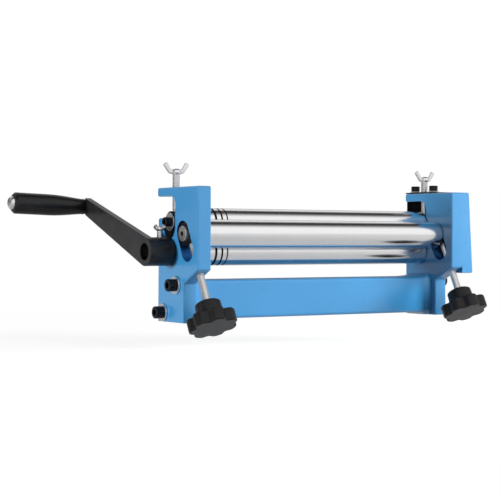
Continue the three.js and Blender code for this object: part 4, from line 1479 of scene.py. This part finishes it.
@dataclass
class WingScrew:
    """A wing screw that stands on its tip: threaded shank, hub and two bent wings."""

    diameter: float
    shank: float
    span: float
    width: float
    thickness: float
    rise: float
    hub_height: float
    hub_diameter: float
    pitch: float
    wing_sink: float = 1.5
    wing_root: float = 2.0
    wing_tip: float = 1.3
    wing_edge_share: float = 0.36
    under_shares: tuple[float, float] = (0.16, 0.1)
    over_shares: tuple[float, float] = (0.78, 0.82)
    outer_elbow: tuple[float, float] = (0.85, 0.8)
    inner_elbow: tuple[float, float] = (0.4, 0.6)
    tip_shares: tuple[float, float] = (0.55, 0.9)
    foot_edge: float = 0.4
    collar: float = 0.6
    collar_edge: float = 0.3
    hub_rows: Corners = ((0.0, 0.35, 0.8), (0.8, 0.8, 0.8), (2.2, 1.0, 0.6))
    thread_start: float = 0.3
    thread_past: float = 0.2
    core_past: float = 0.5

    def wing(self) -> Skin:
        """One wing in the plane of the axis: a bar that leans out of the hub and turns up.

        Returns:
            The bar.
        """
        inner, half = self.hub_diameter / 2 - self.wing_sink, self.span / 2
        root, foot, high = inner - self.wing_root, self.shank, self.hub_height
        wide, tip, top = self.width, self.wing_tip, self.shank + self.rise
        bar = Outline.rounded([
            (root, foot + high * self.under_shares[0], 0.0),
            (inner + wide * self.outer_elbow[0], foot + high * self.under_shares[1],
             wide * self.outer_elbow[1]),
            (half, top - wide * self.tip_shares[0], tip),
            (half - wide * self.tip_shares[1], top, tip),
            (inner + wide * self.inner_elbow[0], foot + high * self.over_shares[0],
             wide * self.inner_elbow[1]),
            (root, foot + high * self.over_shares[1], 0.0),
        ], self.thickness * self.wing_edge_share, steps=7)
        body = slab(bar, -self.thickness / 2, self.thickness / 2, steps=4)
        return body.placed(Placement((0, 0, 0), (1, 0, 0), (0, 0, 1), (0, -1, 0)))

    def skins(self, place: Placement) -> list[Skin]:
        """All surfaces of the screw.

        Args:
            place: Frame whose length points from the tip to the hub.

        Returns:
            The surfaces.
        """
        radius, hub, foot = self.diameter / 2, self.hub_diameter / 2, self.shank
        depth = self.pitch * LAYOUT.thread_share
        inside, high = foot + self.core_past, self.hub_height
        core = [(0, 0), (radius - depth, 0, self.foot_edge), (radius - depth, inside), (0, inside)]
        boss = [(0, foot), (radius + self.collar, foot, self.collar_edge),
                *((hub - inset, foot + high * share, corner)
                  for inset, share, corner in self.hub_rows), (0, foot + high)]
        wing = self.wing()
        other = Skin(wing.points * np.array([-1, -1, 1]), wing.faces)
        ridge = thread(radius, self.pitch, self.thread_start, foot + self.thread_past, depth)
        round_skins = lathe(core, steps=40), lathe(boss, steps=48)
        return [s.placed(place) for s in (*round_skins, ridge, wing, other)]


@dataclass
class Fasteners:
    """Beam, guard and end screws with their washers, and the two pinch bolts."""

    beam_places: tuple[tuple[str, float, float], ...] = (
        ("upper", -14.2, 39.0), ("lower", 12.8, 9.8))
    gap: float = 0.3
    beam_washer: tuple[float, float, float] = (4.3, 9.5, 2.0)
    end_washer: tuple[float, float, float] = (3.3, 9.5, 1.6)
    guard_washer: tuple[float, float, float] = (3.3, 6.0, 0.8)
    inner_edges: tuple[float, float] = (0.15, 0.25)
    rim_edge: float = 0.35
    beam_length: float = 25.0
    guard_length: float = 11.0
    end_length: float = 14.0
    guard_spacing: float = 32.6
    pinch_rise: float = 13.5
    pinch_turns: tuple[float, float] = (0.0, 5.0)

    def pair(self, shop: Workshop, names: tuple[str, str], washer: tuple[float, float, float],
             screw: CapScrew, places: tuple[Placement, Placement]) -> None:
        """Makes a flat washer with softly rounded rims, and a cap screw on it.

        Args:
            shop: Where they are made.
            names: Names of the washer and the screw.
            washer: The washer's inner radius, outer radius and thickness.
            screw: The screw.
            places: Their frames, each on its seat.
        """
        bore, radius, thick = washer
        low, high = self.inner_edges
        line = [(bore, 0, low), (radius, 0, self.rim_edge), (radius, thick, self.rim_edge),
                (bore, thick, high)]
        shop.part(names[0], [ring(line).placed(places[0])], Finish.BRIGHT_ZINC)
        shop.part(names[1], screw.skins(places[1]), Finish.BLACK_OXIDE)

    def build(self, shop: Workshop) -> None:
        """Makes all screws and washers.

        Args:
            shop: Where they are made.
        """
        for name, side in SIDES.items():
            frame_at = along_x if side > 0 else along_minus_x
            seat = LAYOUT.outer_x + self.gap
            head = seat + self.beam_washer[2] + self.gap
            for place, y, z in self.beam_places:
                names = f"beam_washer_{name}_{place}", f"beam_screw_{name}_{place}"
                places = frame_at(side * seat, y, z), frame_at(side * head, y, z)
                self.pair(shop, names, self.beam_washer, CapScrew(M8, self.beam_length), places)
        seat = LAYOUT.guard_top_z + self.gap
        head = seat + self.guard_washer[2] + self.gap
        for name, end in (("front", -1), ("rear", 1)):
            y = end * self.guard_spacing / 2
            places = tuple(upright(LAYOUT.stand_middle_x, y, z) for z in (seat, head))
            self.pair(shop, (f"guard_washer_{name}", f"guard_screw_{name}"), self.guard_washer,
                      CapScrew(M6, self.guard_length), places)
        seat = -LAYOUT.block_outer_x - 2 * self.gap
        head = seat - self.end_washer[2] - self.gap
        places = tuple(along_minus_x(x, 0, LAYOUT.upper_axis_z) for x in (seat, head))
        self.pair(shop, ("upper_end_washer", "upper_end_screw"), self.end_washer,
                  CapScrew(M6, self.end_length), places)
        foot = LAYOUT.upper_axis_z + LAYOUT.block_top + self.gap
        shank = LAYOUT.stand_height + self.pinch_rise - foot
        bolt = WingScrew(diameter=8.0, shank=shank, span=31.5, width=5.0, thickness=2.8,
                         rise=13.0, hub_height=6.0, hub_diameter=11.0, pitch=LAYOUT.pitch)
        for (name, side), turn in zip(SIDES.items(), self.pinch_turns):
            where = upright(side * LAYOUT.stand_middle_x, 0, foot, turn)
            shop.part(f"pinch_bolt_{name}", bolt.skins(where), Finish.BRIGHT_ZINC)


# Star knobs and crank


@dataclass
class StarKnob:
    """A moulded seven-lobed knob and its adjusting screw."""

    side: str
    hub_top: float
    radius: float = 25.5
    lobes: int = 7
    valley: float = 4.2
    valley_power: float = 2.2
    thickness: float = 14.0
    hub_radius: float = 13.5
    hub_height: float = 15.0
    hub_past: float = 1.5
    hub_flare: Corners = ((1.6, 0.0, 0.0), (0.6, 2.2, 1.2))
    hub_shoulder: tuple[float, float] = (1.6, 2.0)
    hub_crown: tuple[float, float] = (3.2, 0.6)
    mouth: tuple[float, float, float] = (0.6, 0.3, 1.5)
    edge: float = 1.9
    screw_radius: float = 4.0
    screw_inside: float = 20.0
    screw_gap: float = 0.3
    screw_edge: float = 0.5
    dog_radius: float = 2.5
    dog_length: float = 2.2
    thread_inside: float = 3.0
    outline_steps: int = 196

    def star(self) -> Skin:
        """The lobed body.

        The radius at angle t is the full radius less the valley times ((1 - cos 7t) / 2)^2.2, so
        that the lobes are round and broad and the valleys narrow.

        Returns:
            The closed body.
        """
        angle = np.arange(self.outline_steps) * TURN / self.outline_steps
        wave = (1 - np.cos(self.lobes * angle)) / 2
        radius = self.radius - self.valley * wave ** self.valley_power
        loop = Outline.polar(radius, angle, (0, 0), self.edge)
        low = -self.hub_height - self.thickness
        return slab(loop, low, low + self.thickness, steps=6)

    def hub(self) -> Skin:
        """The hub, which flares into the body and is open round the screw.

        Returns:
            The hub.
        """
        foot, r, screw = -self.hub_height - self.hub_past, self.hub_radius, self.screw_radius
        down, corner = self.hub_shoulder
        inset, crown = self.hub_crown
        wide, narrow, deep = self.mouth
        flare = ((r + out, foot + up, rounding) for out, up, rounding in self.hub_flare)
        return lathe([(0, foot), *flare, (r, -down, corner), (r - inset, 0, crown),
                      (screw + wide, 0, narrow), (screw + narrow, -deep), (0, -deep)], 72)

    def build(self, shop: Workshop) -> None:
        """Makes the knob and its screw.

        Args:
            shop: Where they are made.
        """
        place = LAYOUT.slanted(SIDES[self.side] * LAYOUT.stand_middle_x)
        down = Placement((0.0, 0.0, -self.hub_top))
        skins = [s.placed(down).placed(place) for s in (self.star(), self.hub())]
        shop.part(f"star_knob_{self.side}", skins, Finish.BLACK_PLASTIC)
        top, low = -LAYOUT.bending_foot - self.screw_gap, -self.hub_top - self.screw_inside
        depth = LAYOUT.pitch * LAYOUT.thread_share
        core, dog, tip = self.screw_radius - depth, self.dog_radius, top + self.dog_length
        line = [(0, low), (core, low), (core, top, self.screw_edge), (dog, top),
                (dog, tip, self.screw_edge), (0, tip)]
        ridge = thread(self.screw_radius, LAYOUT.pitch, -self.hub_top - self.thread_inside,
                       top - self.screw_edge, depth)
        skins = [s.placed(place) for s in (lathe(line, steps=40), ridge)]
        shop.part(f"knob_screw_{self.side}", skins, Finish.BRIGHT_ZINC)


@dataclass
class Crank:
    """The crank: arm with its hub, turning grip, grip bolt and the wing screw that clamps it."""

    radius: float = 155.6
    angle: float = 18.4
    outer_x: float = -205.8
    inner_x: float = -198.3
    hub_inner_x: float = -176.8
    hub_radius: float = 15.0
    hub_edge: float = 0.8
    hub_inset: float = 0.04
    hub_lap: float = 0.25
    hub_steps: int = 60
    fit: float = 0.2
    bore: float = 9.0
    bore_edge: float = 0.5
    bore_end_x: float = -195.0
    end_half: float = 9.5
    end_y: float = 138.745
    edge: float = 0.6
    tongue_x: float = -201.9
    tongue_inset: float = 1.5
    tongue_edge: float = 0.4
    tongue_root: tuple[float, float, float] = (6.0, 2.5, 1.0)
    grip_x: float = -202.5
    grip_length: float = 85.9
    grip_tilt: float = 2.0
    neck_radius: float = 8.6
    neck_length: float = 4.8
    neck_edge: tuple[float, float] = (0.7, 0.8)
    swell_share: float = 0.52
    swell_power: float = 1.15
    grip_radius: float = 11.7
    grip_tail: float = 18.0
    grip_edge: tuple[float, float, float] = (2.4, 2.0, 0.8)
    grip_bore: float = 4.3
    bore_depth: float = 4.0
    mouth_edge: float = 0.2
    bolt_radius: float = 4.0
    bolt_start: float = -3.5
    bolt_gap: float = 0.3
    head_radius: float = 7.3
    head_height: float = 4.5
    head_rows: Corners = ((1.0, 0.42, 1.2), (0.8, 0.85, 1.5))
    cross_half: tuple[float, float] = (3.4, 0.75)
    cross_corner: float = 0.3
    cross_turns: tuple[float, float] = (10.0, 100.0)
    cross_floor: float = 0.45
    clamp_x: float = -187.6
    flat_depth: float = 1.0
    clamp_gap: float = 0.3
    clamp_rise: float = 6.6

    def axis(self) -> tuple[float, float]:
        """Where the grip's axis lies from the roller's: to the rear, and up."""
        turn = math.radians(self.angle)
        return self.radius * math.cos(turn), self.radius * math.sin(turn)

    def grip_frame(self) -> Placement:
        """The frame of the grip, whose length leans up a little towards its free end.

        Returns:
            The frame.
        """
        y, z = self.axis()
        s, c = math.sin(math.radians(self.grip_tilt)), math.cos(math.radians(self.grip_tilt))
        origin = (self.grip_x, y, z + LAYOUT.lower_axis_z)
        return Placement(origin, (s, 0, c), (0, 1, 0), (-c, 0, s))

    def blade(self) -> Skin:
        """The flat arm: a half circle about the hub that narrows evenly to its square end.

        Returns:
            The plate, with the hub's bore.
        """
        _, z = self.axis()
        spread = math.degrees(math.asin((self.hub_radius - self.end_half) / self.radius))
        sweep = np.radians(np.linspace(90 + self.angle - spread, 270 + self.angle + spread,
                                       self.hub_steps))
        arc = Outline.polar(np.full(self.hub_steps, self.hub_radius), sweep, (0, 0), self.edge)
        end = np.array([[self.end_y, z - self.end_half], [self.end_y, z + self.end_half]])
        loop = np.concatenate([arc.points, end])
        outline = Outline(loop, np.full(len(loop), self.edge))
        bore = Outline.circle(self.bore, edge=self.bore_edge).hole()
        return slab(outline, self.outer_x, self.inner_x, (bore,))

    def tongue(self) -> Skin:
        """What the grip turns against: a half circle about its axis, and two corners in the arm.

        Returns:
            The plate.
        """
        y, z = self.axis()
        turn = np.radians(np.linspace(-90, 90, 24))
        half = self.end_half - self.tongue_inset
        tip = np.stack([y + half * np.cos(turn), z + half * np.sin(turn)], -1)
        back, over, under = self.tongue_root
        root = np.array([[self.end_y - back, z + self.end_half - over],
                         [self.end_y - back, z - self.end_half + under]])
        loop = np.concatenate([root, tip])
        outline = Outline(loop, np.full(len(loop), self.tongue_edge))
        return slab(outline, self.tongue_x, self.inner_x)

    def arm(self) -> list[Skin]:
        """The blade, the tongue and the hub.

        Returns:
            Their surfaces.
        """
        rim, start = self.hub_radius - self.hub_inset, self.inner_x - self.hub_lap
        fit = LAYOUT.journal_radius + self.fit
        hub = ring([(rim, start), (rim, self.hub_inner_x, self.hub_edge), (fit, self.hub_inner_x),
                    (fit, self.bore_end_x), (self.bore, self.bore_end_x), (self.bore, start)], 96)
        place = along_x(0, 0, LAYOUT.lower_axis_z)
        return [s.placed(place) for s in (self.blade(), self.tongue(), hub)]

    def grip(self) -> Skin:
        """The grip: from its neck the radius grows by sin(pi t / 2)^1.15 over half its length.

        Returns:
            The closed grip, with the bolt's bore at both ends.
        """
        t = np.linspace(0, 1, 20)
        neck, full, end, bore = self.neck_radius, self.grip_radius, self.grip_length, self.grip_bore
        height = self.neck_length + (end * self.swell_share - self.neck_length) * t
        swell = neck + (full - neck) * np.sin(t * math.pi / 2) ** self.swell_power
        inset, corner, rim = self.grip_edge
        tail = profile([(full, end - self.grip_tail), (full, end - inset, corner),
                        (full - inset, end, rim), (bore, end, self.mouth_edge),
                        (bore, end - self.bore_depth)], 6)
        back, up = self.neck_edge
        foot = np.array([[bore, self.bore_depth], [bore, 0.0], [neck - back, 0.0], [neck, up]])
        line = np.concatenate([foot, np.stack([swell, height], -1), tail, foot[:1]])
        return turned(line, steps=80)

    def bolt(self, place: Placement) -> bpy.types.Mesh:
        """The grip's bolt, whose pan head has a cross recess.

        Args:
            place: The grip's frame.

        Returns:
            The mesh.
        """
        pin, head, high, face = (self.bolt_radius, self.head_radius, self.head_height,
                                 self.grip_length + self.bolt_gap)
        sides = ((head * out, face + high * up, corner) for out, up, corner in self.head_rows)
        body = lathe([(0, self.bolt_start), (pin, self.bolt_start), (pin, face), (head, face, 0.3),
                      *sides, (0, face + high)])
        a, b = self.cross_half
        bar = Outline.rounded([(x, y, self.cross_corner) for x, y in (
            (a, b), (-a, b), (-a, -b), (a, -b))], 0.0, 3)
        arms = [slab(bar.moved(turn, (0, 0)), face + high * self.cross_floor, face + high + 2)
                for turn in self.cross_turns]
        return carved("grip_bolt", [body.placed(place)], [arm.placed(place) for arm in arms])

    def build(self, shop: Workshop) -> None:
        """Makes the crank's four pieces.

        Args:
            shop: Where they are made.
        """
        place = self.grip_frame()
        shop.part("crank_arm", self.arm(), Finish.BLACK_PAINT)
        shop.part("grip", [self.grip().placed(place)], Finish.BLACK_PLASTIC)
        shop.dress("grip_bolt", self.bolt(place), (Finish.BRIGHT_ZINC,), angle=40.0)
        foot = LAYOUT.journal_radius - self.flat_depth + self.clamp_gap
        shank = self.hub_radius - foot + self.clamp_rise
        screw = WingScrew(diameter=6.0, shank=shank, span=25.0, width=5.4, thickness=3.0,
                          rise=7.2, hub_height=5.2, hub_diameter=9.6, pitch=1.0)
        where = upright(self.clamp_x, 0, LAYOUT.lower_axis_z + foot, 90.0)
        shop.part("crank_clamp_screw", screw.skins(where), Finish.BRIGHT_ZINC)


# Camera and studio


@dataclass
class Viewpoint:
    """The camera of the photograph, in metres of the row frame."""

    place: Point = (-0.73735, -1.28892, 0.0869)
    yaw: float = 0.5709
    pitch: float = -0.0076
    roll: float = 0.0025
    focal: float = 1416.08
    side: float = 500.0
    sensor: float = 36.0
    reach: tuple[float, float] = (0.05, 60.0)

    def build(self) -> None:
        """Makes the camera: forward from yaw and pitch, then right and up turned by the roll."""
        cy, sy, cp, sp = (f(a) for a in (self.yaw, self.pitch) for f in (math.cos, math.sin))
        ahead = Vector((sy * cp, cy * cp, sp))
        right = Vector((cy, -sy, 0.0))
        up = right.cross(ahead)
        c, s = math.cos(self.roll), math.sin(self.roll)
        across, above = c * right + s * up, c * up - s * right
        data = bpy.data.cameras.new("viewpoint")
        data.sensor_width, data.lens = self.sensor, self.focal / self.side * self.sensor
        data.clip_start, data.clip_end = self.reach
        camera = bpy.data.objects.new("viewpoint", data)
        axes = Matrix((across, above, -ahead)).transposed().to_4x4()
        camera.matrix_world = Matrix.Translation(self.place) @ axes
        bpy.context.scene.collection.objects.link(camera)
        bpy.context.scene.camera = camera


@dataclass(frozen=True)
class Softbox:
    """A square area lamp that points at the machine and shows in nothing."""

    name: str
    place: Point
    size: float
    power: float

    def build(self, aim: Point) -> None:
        """Makes the lamp.

        Args:
            aim: Where it points.
        """
        data = bpy.data.lights.new(self.name, "AREA")
        data.shape, data.size, data.energy = "SQUARE", self.size, self.power
        lamp = bpy.data.objects.new(self.name, data)
        lamp.location = self.place
        ahead = Vector(aim) - Vector(self.place)
        lamp.rotation_mode = "QUATERNION"
        lamp.rotation_quaternion = ahead.to_track_quat("-Z", "Y")
        lamp.visible_glossy = lamp.visible_camera = False
        bpy.context.scene.collection.objects.link(lamp)


@dataclass
class Studio:
    """Pale floor, white surroundings and soft lamps."""

    floor_z: float = -0.0297
    floor_side: float = 14.0
    floor_colour: Colour = (0.45, 0.45, 0.45)
    floor_grain: float = 0.97
    floor_glow: float = 0.8
    floor_in_gloss: float = 0.28
    far_in_gloss: float = 0.7
    fade: tuple[float, float] = (0.35, 0.9)
    ambient: float = 0.11
    seen_in_gloss: tuple[tuple[float, float], ...] = (
        (0.0, 0.85), (0.06, 0.98), (0.29, 1.0), (0.36, 0.6), (0.43, 0.14), (0.5, 0.03),
        (0.60, 0.04), (0.65, 0.5), (0.70, 0.9), (0.78, 0.8), (0.86, 0.45), (0.94, 0.2),
        (1.0, 0.12))
    aim: Point = (0.13, 0.0, 0.07)
    lamps: tuple[Softbox, ...] = (
        Softbox("right_softbox", (1.64, -0.92, 0.36), 0.62, 39.0),
        Softbox("front_softbox", (0.6, -2.75, 0.65), 1.3, 42.0),
        Softbox("side_softbox", (-2.75, 0.3, 0.28), 0.4, 78.0),
    )

    def floor_material(self) -> bpy.types.Material:
        """A matt floor that glows to the camera and to gloss.

        Near the machine it keeps the machine's shadow. Further out it fades to a plain white, so
        that no horizon shows, and it is clear from below.

        Returns:
            The material.
        """
        r = Recipe("floor")
        grain = r.noise(3.0, 3.0)
        seen, shiny = r.rays()
        darker = tuple(c * self.floor_grain for c in self.floor_colour)
        r.set(Base_Color=r.blend(grain, darker, self.floor_colour), Roughness=0.9,
              Specular_IOR_Level=0.1)
        glow = r.emission(seen * self.floor_glow + shiny * self.floor_in_gloss)
        near = r.join("ShaderNodeAddShader", r.shader.outputs[0], glow)
        where = r.node("ShaderNodeSeparateXYZ", Vector=r.place())
        x, y = r.signals(where, "X", "Y")
        share = ((x ** 2 + y ** 2) ** 0.5).within(*self.fade)
        far = r.emission(seen + shiny * self.far_in_gloss)
        fade = r.join("ShaderNodeMixShader", share.socket, near.outputs[0], far)
        below = r.node("ShaderNodeNewGeometry").outputs["Backfacing"]
        clear = r.node("ShaderNodeBsdfTransparent").outputs[0]
        side = r.join("ShaderNodeMixShader", below, fade.outputs[0], clear)
        r.tree.links.new(side.outputs[0], r.output.inputs["Surface"])
        return r.material

    def floor(self) -> None:
        """The floor under the machine, low enough for the star knobs at every pose."""
        half, mesh = self.floor_side / 2, bpy.data.meshes.new("floor")
        corners = [(x * half, y * half, self.floor_z)
                   for x, y in ((-1, -1), (1, -1), (1, 1), (-1, 1))]
        mesh.from_pydata(corners, [], [(0, 1, 2, 3)])
        mesh.materials.append(self.floor_material())
        floor = bpy.data.objects.new("floor", mesh)
        bpy.context.scene.collection.objects.link(floor)

    def around(self, g: Graph, turn: Signal) -> Signal:
        """The level that gloss sees: it runs evenly between stops round the rollers.

        Args:
            g: The world's nodes.
            turn: Turn about the rollers, from nothing at the front to one at the rear.

        Returns:
            The level.
        """
        node = g.join("ShaderNodeValToRGB", turn.socket)
        stops, elements = self.seen_in_gloss, node.color_ramp.elements
        elements[0].position, elements[1].position = stops[0][0], stops[-1][0]
        for place, _ in stops[1:-1]:
            elements.new(place)
        for element, (_, level) in zip(elements, stops):
            element.color = (level, level, level, 1.0)
        return Signal(g.tree, node.outputs[0])

    def surroundings(self) -> None:
        """A world that is white to the camera, and an even soft light to the machine.

        Gloss sees a white room with a dark gap overhead that runs along the rollers.
        """
        world = bpy.data.worlds.new("studio")
        bpy.context.scene.world = world
        world.use_nodes = True
        g = Graph(world.node_tree)
        output = g.node("ShaderNodeOutputWorld")
        way = g.node("ShaderNodeTexCoord").outputs["Generated"]
        y, z = g.signals(g.node("ShaderNodeSeparateXYZ", Vector=way), "Y", "Z")
        seen, shiny = g.rays()
        turn = z.maths("ARCTAN2", z, y * -1.0) / math.pi
        level = self.around(g, turn) * shiny + (1.0 - shiny) * self.ambient
        white = (1.0, 1.0, 1.0)
        room = g.node("ShaderNodeBackground", Color=white, Strength=level)
        plain = g.node("ShaderNodeBackground", Color=white)
        mix = g.join("ShaderNodeMixShader", seen.socket, room.outputs[0], plain.outputs[0])
        g.tree.links.new(mix.outputs[0], output.inputs["Surface"])

    def build(self) -> None:
        """Makes floor, world and lamps, and sets the view transform."""
        self.floor()
        self.surroundings()
        for lamp in self.lamps:
            lamp.build(self.aim)
        bpy.context.scene.view_settings.view_transform = "Standard"


def main() -> None:
    """Builds the camera, every sub-assembly and the studio, and notes both boxes."""
    logging.basicConfig(level=logging.INFO, format="%(name)s: %(message)s")
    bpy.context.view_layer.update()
    Viewpoint().build()
    shop = Workshop()
    parts = (Stand("left"), Stand("right"), CrossBeam(), GearGuard(), RollerSet(), Bearings(),
             GearTrain(), Fasteners(), StarKnob("left", hub_top=78.0),
             StarKnob("right", hub_top=70.8), Crank())
    for part in parts:
        part.build(shop)
        LOG.info("%s done", type(part).__name__)
    left_over = sorted(set(frame["nodes"]) - set(shop.made))
    LOG.info("%d pieces made, nodes still shown: %s", len(shop.made), left_over)
    Studio().build()


if __name__ == "__main__":
    main()
